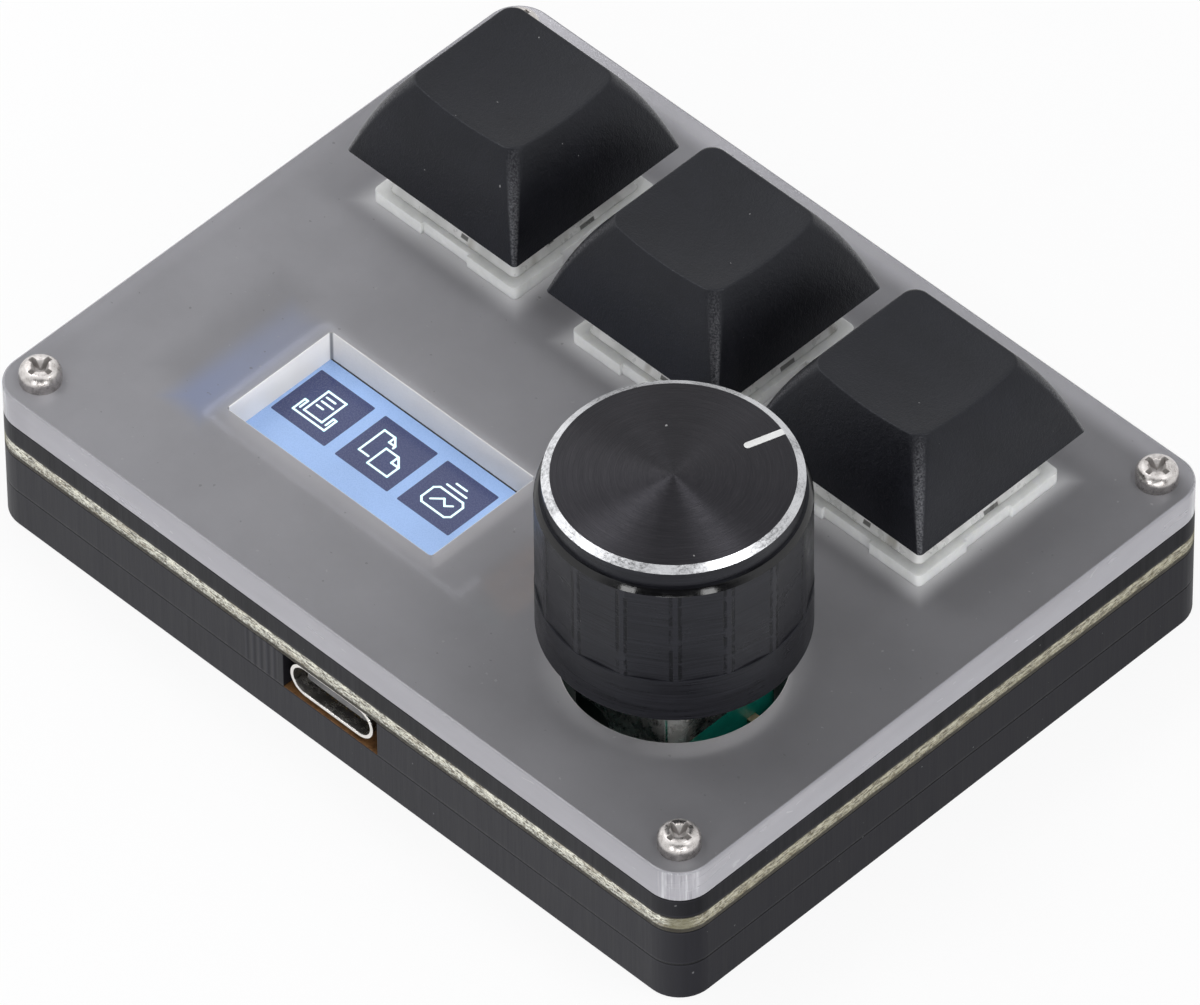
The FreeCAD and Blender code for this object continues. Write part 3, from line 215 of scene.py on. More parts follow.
class KeypadStageSettings(PropertyGroup):
    """Floor, lamps and surroundings."""

    floor_colour: FloatVectorProperty(
        name="Floor", description="Colour of the floor",
        default=(0.93, 0.93, 0.935), **COLOUR)
    key_power: FloatProperty(
        name="Key lamps", description="Power of each high soft lamp", default=0.8, min=0.0,
        unit="POWER")
    side_power: FloatProperty(
        name="Side lamp", description="Power of the lamp close beside the case", default=0.07,
        min=0.0, unit="POWER")
    fill_power: FloatProperty(
        name="Front lamps", description="Power of each low lamp in front", default=1.1, min=0.0,
        unit="POWER")
    low_power: FloatProperty(
        name="Low lamp", description="Power of the wide lamp low in front", default=0.8, min=0.0,
        unit="POWER")
    sky_strength: FloatProperty(
        name="Surround", description="Strength of the even surrounding light", default=0.50,
        min=0.0, max=2.0, subtype="FACTOR")


# Node helpers
class Nodes:
    """A node tree, with short calls that add nodes to it."""

    def __init__(self, tree):
        self.tree = tree

    def node(self, kind, **values):
        made = self.tree.nodes.new(kind)
        for label, value in values.items():
            setattr(made, label, value)
        return made

    def feed(self, socket, value):
        """Links a socket to another one, or gives it a constant."""
        if hasattr(value, "is_linked"):
            self.tree.links.new(value, socket)
        elif socket.type == "RGBA":
            socket.default_value = (*value, 1.0)
        else:
            socket.default_value = value

    def maths(self, operation, *values):
        made = self.node("ShaderNodeMath", operation=operation)
        for socket, value in zip(made.inputs, values):
            self.feed(socket, value)
        return made.outputs[0]

    def plus(self, first, second):
        return self.maths("ADD", first, second)

    def minus(self, first, second):
        return self.maths("SUBTRACT", first, second)

    def times(self, first, second):
        return self.maths("MULTIPLY", first, second)

    def larger(self, first, second):
        return self.maths("MAXIMUM", first, second)

    def unsigned(self, value):
        return self.maths("ABSOLUTE", value)

    def vectors(self, operation, first, second):
        made = self.node("ShaderNodeVectorMath", operation=operation)
        self.feed(made.inputs[0], first)
        self.feed(made.inputs["Scale" if operation == "SCALE" else 1], second)
        return made.outputs["Value" if operation in ("DISTANCE", "DOT_PRODUCT") else 0]

    def vector(self, *values):
        """A vector made of up to three values."""
        made = self.node("ShaderNodeCombineXYZ")
        for socket, value in zip(made.inputs, values):
            self.feed(socket, value)
        return made.outputs[0]

    def ramp(self, value, low, high, start=0.0, end=1.0, smooth=False):
        """Turns the range from low to high into the range from start to end."""
        made = self.node("ShaderNodeMapRange",
                         interpolation_type="SMOOTHSTEP" if smooth else "LINEAR")
        for label, given in (("Value", value), ("From Min", low), ("From Max", high),
                             ("To Min", start), ("To Max", end)):
            self.feed(made.inputs[label], given)
        return made.outputs["Result"]

    def blend(self, factor, first, second):
        """A mix of the shaders that two nodes give."""
        made = self.node("ShaderNodeMixShader")
        for socket, value in zip(made.inputs, (factor, first.outputs[0], second.outputs[0])):
            self.feed(socket, value)
        return made


class Finish(Nodes):
    """A material, with calls for the patterns that its finish is made of."""

    def __init__(self, name, **sockets):
        self.material = bpy.data.materials.new(name)
        self.material.use_nodes = True
        super().__init__(self.material.node_tree)
        self.shader = self.tree.nodes["Principled BSDF"]
        for label, value in sockets.items():
            self.set(label.replace("_", " "), value)

    def set(self, label, value):
        self.feed(self.shader.inputs[label], value)

    def finished(self, colour, roughness, normal):
        """Feeds the three sockets that every finish has, and returns the material."""
        self.set("Base Color", colour)
        self.set("Roughness", roughness)
        self.set("Normal", normal)
        return self.material

    def show(self, shader):
        """Shows another node's shader in place of the material's own."""
        self.feed(self.tree.nodes["Material Output"].inputs["Surface"], shader.outputs[0])

    def place(self, stretch=(1.0, 1.0, 1.0)):
        """The point on the piece in millimetres, stretched along each axis."""
        source = self.node("ShaderNodeTexCoord")
        return self.vectors("MULTIPLY", source.outputs["Object"],
                            [factor / MM for factor in stretch])

    def parts(self, vector):
        split = self.node("ShaderNodeSeparateXYZ")
        self.feed(split.inputs[0], vector)
        return split.outputs

    def facing(self):
        """The surface's own direction at rest, as x, y and z."""
        source = self.node("ShaderNodeTexCoord")
        return self.parts(source.outputs["Normal"])

    def beside(self, value, middle, half):
        """How far a value lies outside a stretch, from its middle and half its length."""
        return self.minus(self.unsigned(self.minus(value, middle)), half)

    def outside(self, spot, middle, length, width):
        """How far a point lies outside a rectangle seen from above, in millimetres."""
        return self.larger(self.beside(spot[0], middle[0], length / 2),
                           self.beside(spot[1], middle[1], width / 2))

    def from_axis(self, middle):
        """Distance from an upright axis through a point in millimetres."""
        return self.vectors("DISTANCE", self.place((1.0, 1.0, 0.0)), (middle[0], middle[1], 0.0))

    def noise(self, vector, scale, detail=3.0, roughness=0.55, distortion=0.0):
        """Clouds round a point. Three stretches stand for the point that place gives with them."""
        made = self.node("ShaderNodeTexNoise")
        self.feed(made.inputs["Vector"],
                  self.place(vector) if isinstance(vector, tuple) else vector)
        for label, given in (("Scale", scale), ("Detail", detail), ("Roughness", roughness),
                             ("Distortion", distortion)):
            self.feed(made.inputs[label], given)
        return made.outputs["Fac"]

    def cells(self, vector, scale, feature):
        made = self.node("ShaderNodeTexVoronoi", feature=feature)
        self.feed(made.inputs["Vector"], vector)
        self.feed(made.inputs["Scale"], scale)
        return made.outputs["Distance"]

    def mix(self, factor, first, second):
        made = self.node("ShaderNodeMix", data_type="RGBA")
        self.feed(made.inputs["Factor"], factor)
        self.feed(made.inputs[6], first)
        self.feed(made.inputs[7], second)
        return made.outputs[2]

    def tones(self, value, low, high, colour, dark, bright):
        """A colour that runs from a darker to a brighter shade as a value rises."""
        return self.mix(self.ramp(value, low, high), shade(colour, dark), shade(colour, bright))

    def bump(self, height, distance, strength, normal=None):
        made = self.node("ShaderNodeBump")
        for label, given in (("Height", height), ("Distance", distance * MM),
                             ("Strength", strength)):
            self.feed(made.inputs[label], given)
        if normal is not None:
            self.feed(made.inputs["Normal"], normal)
        return made.outputs["Normal"]

    def soft_edge(self, radius):
        """A normal that rounds sharp edges over the given radius in millimetres."""
        made = self.node("ShaderNodeBevel", samples=6)
        self.feed(made.inputs["Radius"], radius * MM)
        return made.outputs["Normal"]


def shade(colour, factor):
    return tuple(min(1.0, part * factor) for part in colour[:3])


def moulded(name, colour, roughness=0.45, grain=6.0, depth=0.006, variation=0.25, rounding=0.06,
            **sockets):
    """Moulded plastic: slight cloudiness, fine grain and softly rounded edges."""
    made = Finish(name, **sockets)
    spot = made.place()
    cloud = made.noise(spot, 0.55, 4.0)
    fine = made.noise(spot, grain, 3.0)
    return made.finished(made.tones(cloud, 0.3, 0.7, colour, 1 - variation, 1 + variation),
                         made.ramp(fine, 0.25, 0.75, roughness - 0.08, roughness + 0.1),
                         made.bump(fine, depth, 0.7, made.soft_edge(rounding)))


def sheet_metal(name, colour, roughness=0.28, stretch=(1.0, 1.0, 8.0), scratch=0.004,
                variation=0.12, rounding=0.04, **sockets):
    """Bright sheet metal: fine drawn lines, cloudy tarnish and rounded edges."""
    made = Finish(name, Metallic=1.0, **sockets)
    lines = made.noise(made.place(stretch), 3.0, 4.0, 0.7)
    cloud = made.noise(made.place(), 0.9, 3.0)
    return made.finished(made.tones(cloud, 0.3, 0.7, colour, 1 - variation, 1 + variation),
                         made.ramp(made.plus(lines, cloud), 0.7, 1.3, roughness - 0.1,
                                   roughness + 0.14),
                         made.bump(lines, scratch, 0.8, made.soft_edge(rounding)))


def dress(nodes, material):
    """Gives CAD nodes that stay as they are their finished material."""
    for node in nodes:
        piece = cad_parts[node]
        if not piece.material_slots:
            piece.data.materials.append(material)
        for slot in piece.material_slots:
            slot.material = material


# Mesh helpers
def add_piece(name, mesh_maker, materials, body, replaced=(), angle=32.0, weighted=True):
    """Turns a filled bmesh into a finished piece that rides on a body."""
    mesh = bpy.data.meshes.new(name)
    shape = bmesh.new()
    mesh_maker(shape)
    bmesh.ops.remove_doubles(shape, verts=shape.verts, dist=1e-7)
    bmesh.ops.recalc_face_normals(shape, faces=shape.faces)
    shape.to_mesh(mesh)
    shape.free()
    mesh.shade_smooth()
    mesh.set_sharp_from_angle(angle=math.radians(angle))
    for material in materials:
        mesh.materials.append(material)
    piece = bpy.data.objects.new(name, mesh)
    bpy.context.scene.collection.objects.link(piece)
    if weighted:
        normals = piece.modifiers.new("even shading", "WEIGHTED_NORMAL")
        normals.keep_sharp = True
    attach(piece, body)
    if replaced:
        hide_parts(*replaced)
    return piece


def round_point(middle, radius, angle):
    return middle[0] + radius * math.cos(angle), middle[1] + radius * math.sin(angle)


def rounded_rectangle(middle, length, width, radius, steps):
    """Points of a rectangle with round corners, counter-clockwise."""
    points = []
    for turn, (sx, sy) in enumerate(((1, 1), (-1, 1), (-1, -1), (1, -1))):
        centre = (middle[0] + sx * (length / 2 - radius), middle[1] + sy * (width / 2 - radius))
        for step in range(steps + 1):
            points.append(round_point(centre, radius, math.pi / 2 * (turn + step / steps)))
    return points


def circle(middle, radius, steps):
    return [round_point(middle, radius, 2 * math.pi * step / steps) for step in range(steps)]


def inset(points, distance):
    """The outline moved towards its own left side, which is the material's side."""
    moved = []
    count = len(points)
    for index, point in enumerate(points):
        before, after = points[index - 1], points[(index + 1) % count]
        first = Vector((point[0] - before[0], point[1] - before[1])).normalized()
        second = Vector((after[0] - point[0], after[1] - point[1])).normalized()
        n_first, n_second = Vector((-first.y, first.x)), Vector((-second.y, second.x))
        corner = (n_first + n_second) / (1 + n_first.dot(n_second))
        moved.append((point[0] + corner.x * distance, point[1] + corner.y * distance))
    return moved


def join_rings(shape, rings, material=0):
    for lower, upper in zip(rings, rings[1:]):
        for index, vert in enumerate(lower):
            after = (index + 1) % len(lower)
            face = shape.faces.new((vert, lower[after], upper[after], upper[index]))
            face.material_index = material


def plate_rings(shape, outline, low, high, rounding, wall_material, steps=3):
    """One outline raised from low to high, its upper edge rounded. Returns both end rings."""
    levels = [(0.0, low)]
    for step in range(steps + 1):
        angle = math.pi / 2 * step / steps
        levels.append((rounding * (1 - math.cos(angle)), high - rounding * (1 - math.sin(angle))))
    rings = []
    for distance, level in levels:
        rings.append([shape.verts.new((x, y, level)) for x, y in inset(outline, distance)])
    join_rings(shape, rings, material=wall_material)
    return rings[0], rings[-1]


def ring_edges(shape, rings):
    edges = []
    for ring in rings:
        for index, vert in enumerate(ring):
            after = ring[(index + 1) % len(ring)]
            edges.append(shape.edges.get((vert, after)) or shape.edges.new((vert, after)))
    return edges


def fill(shape, rings, material):
    made = bmesh.ops.triangle_fill(shape, edges=ring_edges(shape, rings), use_beauty=True)
    for item in made["geom"]:
        if isinstance(item, bmesh.types.BMFace):
            item.material_index = material


# Finishes of the case
def frosted_face():
    """Sandblasted upper face that scatters light both ways and blurs what lies under it; painted
    shade, light and glow.
    """
    look = bpy.context.scene.keypad_case
    made = Finish("frosted_face", IOR=1.49, Transmission_Weight=1.0)
    spot = made.place()
    parts = made.parts(spot)
    cloud = made.noise(spot, 0.13, 4.0, 0.6)
    frost = made.noise(spot, 9.0, 3.0, 0.6)
    specks = made.ramp(made.noise(spot, 1.9, 2.0, 0.35), 0.755, 0.775)
    pits = made.ramp(made.noise((1.0, 1.3, 1.0), 1.5, 2.0, 0.35), 0.76, 0.78)
    colour = made.tones(cloud, 0.3, 0.7, look.frost_colour, 0.94, 1.06)
    # Painted shade: a darker strip of the plate beside the window
    painted_shade_band = made.ramp(made.outside(parts, *SHADED_STRIP), 2.8, -0.2, smooth=True)
    colour = made.mix(made.times(painted_shade_band, 0.34), colour, shade(look.frost_colour, 0.55))
    # Painted light: a bluish strip beside the window, standing in for the display's light seen
    # through the frosted face
    lit = made.ramp(made.outside(parts, *LIT_STRIP), 2.2, -0.3, smooth=True)
    patchy = made.ramp(parts[1], 7.0, 18.0, 0.45, 1.15)
    colour = made.mix(made.times(made.times(lit, patchy), 0.70), colour, (0.46, 0.53, 0.78))
    # Painted light and shade: darker towards -X, lighter towards +X, along the far -Y edge and
    # towards the +X -Y corner
    tone = made.times(made.ramp(parts[0], -38.0, 5.0, 0.70, 1.05),
                      made.ramp(parts[0], 5.0, 36.0, 1.0, 1.10))
    strip = made.ramp(parts[1], -26.3, -28.3, 0.0, 0.75, smooth=True)
    corner = made.ramp(made.minus(parts[0], parts[1]), 52.0, 62.0, 0.0, 0.4)
    tone = made.times(tone, made.plus(1.0, made.plus(strip, corner)))
    colour = made.vectors("SCALE", colour, tone)
    # Painted glow: lighter round the knob hole, the window and the switch flanges; the glow also
    # raises the translucent share
    glow = made.ramp(made.from_axis(KNOB_MIDDLE / MM), 11.2, KNOB_HOLE_RADIUS, 0.0, 0.30,
                     smooth=True)
    window = made.outside(parts, WINDOW_MIDDLE, look.window_length / MM, look.window_width / MM)
    glow = made.larger(glow, made.ramp(window, 1.5, 0.0, 0.0, 0.16, smooth=True))
    for number in KEYS:
        flange = made.outside(parts, span("stem_" + number)[2] / MM, FLANGE_SIDE, FLANGE_SIDE)
        glow = made.larger(glow, made.ramp(flange, 2.0, 0.0, 0.0, 0.62, smooth=True))
    colour = made.mix(glow, colour, (0.86, 0.86, 0.87))
    colour = made.mix(made.times(specks, 0.4), colour, (0.85, 0.85, 0.86))
    colour = made.mix(made.times(pits, 0.4), colour, shade(look.frost_colour, 0.35))
    normal = made.bump(frost, 0.012, 0.5)
    rough = made.ramp(frost, 0.3, 0.7, look.frost_roughness - 0.05, look.frost_roughness + 0.05)
    made.finished(colour, rough, normal)
    back, front = made.node("ShaderNodeBsdfTranslucent"), made.node("ShaderNodeBsdfDiffuse")
    for shader in (back, front):
        made.feed(shader.inputs["Color"], colour)
        made.feed(shader.inputs["Normal"], normal)
    both = made.blend(made.plus(0.55, made.times(glow, 0.25)), back, front)
    made.show(made.blend(made.plus(0.62, made.times(glow, 0.36)), made.shader, both))
    return made.material


def cut_edge():
    """Polished outer edge of clear acrylic, milky with light, cutter marks on its corners, partly
    a painted highlight.
    """
    look = bpy.context.scene.keypad_case
    made = Finish("cut_edge", IOR=1.49, Transmission_Weight=0.22)
    facing = made.facing()
    level = made.parts(made.place())[2]
    cloud = made.noise((0.12, 0.12, 0.5), 0.8, 3.0)
    marks = made.noise((1.0, 1.0, 0.04), 3.6, 3.0, 0.7)
    scratches = made.ramp(made.noise((0.5, 0.5, 1.6), 1.1, 2.0, 0.3, 1.5), 0.745, 0.76)
    corner = made.times(made.ramp(made.unsigned(facing[0]), 0.18, 0.34),
                        made.ramp(made.unsigned(facing[1]), 0.18, 0.34))
    # Partly real cutter marks, partly a painted highlight: lighter marks on the edge's corners
    cutter_marks_and_highlight = made.times(made.ramp(marks, 0.50, 0.62), corner)
    colour = made.tones(cloud, 0.3, 0.7, look.edge_colour, 0.93, 1.05)
    rising = made.ramp(level, PLATE_LOW.z / MM + 0.2, PLATE_HIGH.z / MM - 0.1, 0.0, 0.30)
    colour = made.mix(rising, colour, shade(look.edge_colour, 0.78))
    colour = made.mix(made.times(cutter_marks_and_highlight, 0.7), colour, (0.74, 0.74, 0.77))
    colour = made.mix(made.times(made.times(corner, 0.5), made.ramp(marks, 0.42, 0.32)), colour,
                      (0.16, 0.15, 0.17))
    colour = made.mix(made.times(scratches, 0.15), colour, (0.9, 0.9, 0.92))
    return made.finished(colour, made.ramp(cloud, 0.3, 0.7, 0.16, 0.3),
                         made.bump(made.times(marks, corner), 0.02, 0.5))


def cut_wall():
    """Walls of the openings in the frosted plate, with a painted glow, painted shade on walls
    facing +Y and a painted shadow at the window's corners.
    """
    look = bpy.context.scene.keypad_case
    made = Finish("cut_wall", IOR=1.49, Transmission_Weight=0.1)
    parts = made.parts(made.place())
    grain = made.noise(made.place(), 5.0, 3.0, 0.6)
    cloud = made.noise(made.place(), 0.5, 3.0)
    colour = made.tones(made.plus(grain, cloud), 0.7, 1.3, look.wall_colour, 0.93, 1.03)
    length, width = look.window_length / MM - 0.5, look.window_width / MM - 0.5
    ends, sides = [
        made.ramp(made.unsigned(made.minus(parts[axis], WINDOW_MIDDLE[axis])), half, half + 0.12)
        for axis, half in ((0, length / 2), (1, width / 2))]
    near = made.ramp(made.outside(parts, WINDOW_MIDDLE, length, width), 1.0, 0.9)
    # Painted shadow: a dark line where the walls meet at the window's corners
    corner = made.times(made.times(ends, sides), near)
    facing = made.facing()
    # Painted shade: walls facing +Y are darker
    painted_rear_shade = made.ramp(facing[1], 0.4, 0.7, 0.0, 0.22)
    colour = made.mix(painted_rear_shade, colour, shade(look.wall_colour, 0.35))
    # Painted glow: the walls emit faint light, those facing -X the most, except at the window's
    # corners
    painted_glow = made.times(made.ramp(facing[0], -0.4, -0.7, 0.02, 0.20), made.minus(1.0, corner))
    colour = made.mix(made.times(corner, 0.75), colour, (0.10, 0.10, 0.11))
    made.set("Emission Color", colour)
    made.set("Emission Strength", painted_glow)
    return made.finished(colour, made.ramp(cloud, 0.3, 0.7, 0.35, 0.5),
                         made.bump(grain, 0.012, 0.4))


def clear_underside():
    """Polished underside of the clear plate, with faint wiping marks."""
    made = Finish("clear_underside", IOR=1.49, Transmission_Weight=1.0,
                  Base_Color=(0.95, 0.95, 0.97))
    wipe = made.noise((0.3, 1.0, 1.0), 0.8, 3.0)
    made.set("Roughness", made.ramp(wipe, 0.3, 0.7, 0.02, 0.07))
    made.set("Normal", made.bump(wipe, 0.002, 0.3))
    return made.material


def black_sheet(node, shift):
    """Black acrylic sheet: satin faces, sides with fine upright streaks, dark seams, a painted
    highlight beside them and painted light on faces towards +Y.
    """
    look = bpy.context.scene.keypad_case
    made = Finish(node + "_sheet", Specular_Tint=(0.92, 0.93, 1.0))
    low, high, _ = span(node)
    spot = made.place()
    parts = made.parts(spot)
    facing = made.facing()
    # Painted light: faces towards +Y get more specular and faces towards -X less, so one side
    # reads lighter than the other
    gloss = made.minus(made.ramp(facing[1], 0.3, 0.8, 0.19, 0.27),
                       made.ramp(facing[0], -0.3, -0.8, 0.0, 0.09))
    side = made.ramp(made.unsigned(facing[2]), 0.75, 0.55)
    upright = made.vectors("ADD", made.place((1.0, 1.0, 0.045)), (shift, shift * 0.7, shift * 1.3))
    streaks = made.noise(upright, 2.6, 5.0, 0.7)
    wide = made.noise(upright, 0.35, 2.0)
    dust = made.ramp(made.noise(spot, 2.3, 2.0, 0.35), 0.775, 0.79)
    if node == "spacer_plate":
        gloss = made.times(gloss, 0.8)
        cut = made.tones(wide, 0.35, 0.65, look.layer_colour, 0.35, 0.75)
    else:
        cut = made.tones(streaks, 0.3, 0.72, look.layer_colour, 0.8, 1.25)
        cut = made.mix(made.ramp(wide, 0.35, 0.65, 0.0, 0.4), cut, shade(look.layer_colour, 0.8))
    made.set("Specular IOR Level", gloss)
    colour = made.mix(side, look.layer_colour, cut)
    wobble = made.times(made.noise((0.5, 0.5, 0.0), 1.0, 4.0, 0.6), 0.10)
    to_edge = made.maths("MINIMUM", made.minus(parts[2], low.z / MM),
                         made.minus(high.z / MM, parts[2]))
    seam = made.times(made.ramp(made.minus(to_edge, wobble), 0.12, 0.0), side)
    # Painted highlight: a lighter line a little way in from each edge of the sides
    painted_edge_highlight = made.times(made.ramp(made.unsigned(made.minus(to_edge, 0.19)), 0.08, 0.0),
                     made.times(side, wide))
    colour = made.mix(made.times(painted_edge_highlight, 0.5), colour, shade(look.layer_colour, 4.0))
    colour = made.mix(made.times(seam, 0.92), colour, shade(look.layer_colour, 0.06))
    colour = made.mix(made.times(dust, 0.25), colour, (0.42, 0.42, 0.43))
    sawn = made.mix(made.ramp(streaks, 0.3, 0.7), (0.42, 0.42, 0.42), (0.54, 0.54, 0.54))
    rough = made.mix(side, (0.34, 0.34, 0.34), sawn)
    height = made.times(streaks, side)
    by_socket = made.times(
        made.ramp(made.unsigned(parts[0]), RECESS_HALF_WIDTH + 0.2, RECESS_HALF_WIDTH - 0.2),
        made.ramp(parts[1], RECESS_END - 0.25, RECESS_END + 0.25))
    if node == "bottom_cover":
        burnt = made.times(by_socket, made.ramp(facing[2], 0.5, 0.8))
        soot = made.noise(spot, 2.4, 4.0, 0.65)
        brown = made.tones(soot, 0.3, 0.7, look.burnt_colour, 0.5, 1.35)
        colour = made.mix(burnt, colour, brown)
    if node == "middle_frame":
        ends = made.times(by_socket, made.times(side, made.ramp(facing[0], 0.6, 0.8)))
        lower = made.ramp(parts[2], 6.8, 4.4, 0.1, 0.75)
        colour = made.mix(made.times(ends, lower), colour, shade(look.burnt_colour, 0.8))
        beside = made.ramp(made.unsigned(made.minus(parts[0], 7.5)), 2.0, 1.4, smooth=True)
        ridges = made.maths("SINE", made.times(parts[0], 8.4))
        ridges = made.times(made.times(ridges, beside), made.ramp(parts[1], 28.0, 28.6))
        colour = made.mix(made.times(made.larger(ridges, 0.0), 0.3), colour,
                          shade(look.layer_colour, 3.0))
        height = made.plus(height, made.times(ridges, 1.4))
    height = made.plus(height, made.times(seam, -1.0))
    return made.finished(colour, rough, made.bump(height, 0.035, 0.5, made.soft_edge(0.12)))


def laminate():
    """Circuit board: sawn glass-fibre edge, and lacquered faces with faint tracks; painted shadow
    and shade on the edge and near the knob.
    """
    look = bpy.context.scene.keypad_case
    made = Finish("board_laminate", Specular_IOR_Level=0.4)
    low, high, _ = span("circuit_board")
    foot, top = low.z / MM, high.z / MM
    facing = made.facing()
    side = made.ramp(made.unsigned(facing[2]), 0.75, 0.55)
    level = made.parts(made.place())[2]
    weave = made.noise((0.4, 0.4, 1.9), 2.4, 4.0, 0.7)
    threads = made.noise((1.5, 1.5, 2.2), 2.4, 3.0, 0.75)
    burn = made.ramp(made.noise((0.3, 0.3, 1.2), 1.3, 4.0, 0.6), 0.52, 0.72)
    edge = made.tones(weave, 0.42, 0.56, look.fibre_colour, 0.26, 1.7)
    edge = made.mix(made.ramp(level, foot + 0.95, foot + 0.6, 0.0, 0.55), edge,
                    shade(look.fibre_colour, 0.30))
    edge = made.mix(made.ramp(threads, 0.50, 0.64, 0.0, 0.85), edge, (0.84, 0.83, 0.76))
    edge = made.mix(made.ramp(threads, 0.47, 0.36, 0.0, 0.85), edge, (0.13, 0.105, 0.065))
    edge = made.mix(made.times(burn, 0.5), edge, (0.20, 0.145, 0.075))
    # Painted shade: the edge is darker khaki on the board's rounded corners
    corner = made.times(made.ramp(made.unsigned(facing[0]), 0.97, 0.85),
                        made.ramp(made.unsigned(facing[1]), 0.97, 0.85))
    # Painted shade: the edge's faces towards -X are darker khaki
    painted_shade = made.mix(made.ramp(weave, 0.42, 0.6), (0.12, 0.10, 0.055), (0.36, 0.33, 0.21))
    edge = made.mix(made.ramp(facing[0], -0.3, -0.8, 0.0, 0.62), edge, painted_shade)
    edge = made.mix(made.times(corner, 0.8), edge, (0.17, 0.16, 0.10))
    # Painted shadow: dark lines along the bottom and top of the edge, where the board meets the
    # layers below and above
    wobble = made.times(made.noise((0.6, 0.6, 0.0), 1.0, 3.0), 0.16)
    lower = made.ramp(made.minus(level, wobble), foot + 0.38, foot + 0.24)
    upper = made.ramp(made.plus(level, wobble), top - 0.04, top + 0.04)
    edge = made.mix(made.times(made.larger(lower, upper), 0.9), edge, (0.022, 0.018, 0.014))
    to_track = made.cells(made.place((1.0, 0.25, 1.0)), 0.5, "DISTANCE_TO_EDGE")
    tracks = made.ramp(to_track, 0.05, 0.09)
    face = made.mix(tracks, (0.02, 0.16, 0.13), (0.012, 0.09, 0.075))
    shadowed = made.ramp(made.from_axis(KNOB_MIDDLE / MM), 13.0, 11.0, 0.0, 0.85)
    face = made.mix(shadowed, face, (0.004, 0.016, 0.013))
    height = made.times(made.plus(weave, threads), side)
    return made.finished(made.mix(side, face, edge),
                         made.mix(side, (0.25, 0.25, 0.25), (0.85, 0.85, 0.85)),
                         made.bump(height, 0.16, 0.8))


def screw_metal():
    """Nickel plate with fine machining lines, a worn crown and faint tarnish."""
    made = Finish("screw_nickel", Metallic=1.0)
    spot = made.place()
    lines = made.noise((1.0, 1.0, 6.0), 5.0, 3.0, 0.7)
    cloud = made.noise(spot, 1.8, 4.0, 0.6)
    worn = made.noise(spot, 6.0, 2.0)
    colour = made.mix(made.ramp(cloud, 0.35, 0.68), (0.44, 0.415, 0.40), (0.70, 0.67, 0.655))
    colour = made.mix(made.ramp(worn, 0.5, 0.75, 0.0, 0.4), colour, (0.80, 0.78, 0.77))
    _, high, middle = span("case_screws")
    parts = made.parts(spot)
    gaps = [made.maths("POWER", made.beside(parts[axis], middle[axis] / MM, reach), 2.0)
            for axis, reach in enumerate(SCREW_REACH)]
    radius = made.maths("SQRT", made.plus(gaps[0], gaps[1]))
    recess = made.times(made.ramp(radius, 1.34, 1.26),
                        made.ramp(parts[2], high.z / MM - 0.05, high.z / MM - 0.12))
    colour = made.mix(made.times(recess, 0.5), colour, (0.52, 0.50, 0.49))
    made.set("Metallic", made.minus(1.0, made.times(recess, 0.6)))
    rough = made.ramp(made.plus(lines, cloud), 0.7, 1.3, 0.20, 0.40)
    return made.finished(colour, made.plus(rough, made.times(recess, 0.25)),
                         made.bump(made.plus(lines, cloud), 0.012, 0.7, made.soft_edge(0.1)))


# Operators of the case
class KEYPAD_OT_frosted_plate(Operator):
    """Frosted clear plate with its cut-outs, rounded upper edge and a polished underside."""

    bl_idname = "keypad.frosted_plate"
    bl_label = "Frosted plate"

    def execute(self, context):
        look = context.scene.keypad_case
        low = PLATE_LOW.z + look.air_gap

        def cut_shape(shape):
            outer = rounded_rectangle(PLATE_MIDDLE, PLATE_HIGH.x - PLATE_LOW.x,
                                      PLATE_HIGH.y - PLATE_LOW.y, 3 * MM, 12)
            holes = [rounded_rectangle(span("stem_" + number)[2], CUTOUT_SIDE * MM,
                                       CUTOUT_SIDE * MM, 0.4 * MM, 5) for number in KEYS]
            window = [part * MM for part in WINDOW_MIDDLE]
            holes.append(rounded_rectangle(window, look.window_length, look.window_width,
                                           0.25 * MM, 5))
            holes.append(circle(KNOB_MIDDLE, KNOB_HOLE_RADIUS * MM, 128))
            for sx, sy in ((1, 1), (1, -1), (-1, 1), (-1, -1)):
                corner = (PLATE_MIDDLE.x + sx * SCREW_REACH[0] * MM,
                          PLATE_MIDDLE.y + sy * SCREW_REACH[1] * MM)
                holes.append(circle(corner, 1.1 * MM, 32))
            rings = [plate_rings(shape, outer, low, PLATE_HIGH.z, look.rounding, 1)]
            for hole in holes:
                rings.append(plate_rings(shape, hole[::-1], low, PLATE_HIGH.z, 0.06 * MM, 3))
            fill(shape, [upper for _, upper in rings], 0)
            fill(shape, [lower for lower, _ in rings], 2)

        add_piece("frosted_plate", cut_shape,
                  [frosted_face(), cut_edge(), clear_underside(), cut_wall()], "case",
                  ["top_plate"], 50.0)
        return {"FINISHED"}


class KEYPAD_OT_case_layers(Operator):
    """Black sheet layers with saw-cut sides."""

    bl_idname = "keypad.case_layers"
    bl_label = "Black layers"

    def execute(self, context):
        for shift, node in enumerate(("spacer_plate", "middle_frame", "bottom_cover")):
            dress([node], black_sheet(node, 7.3 * (shift + 1)))
        return {"FINISHED"}


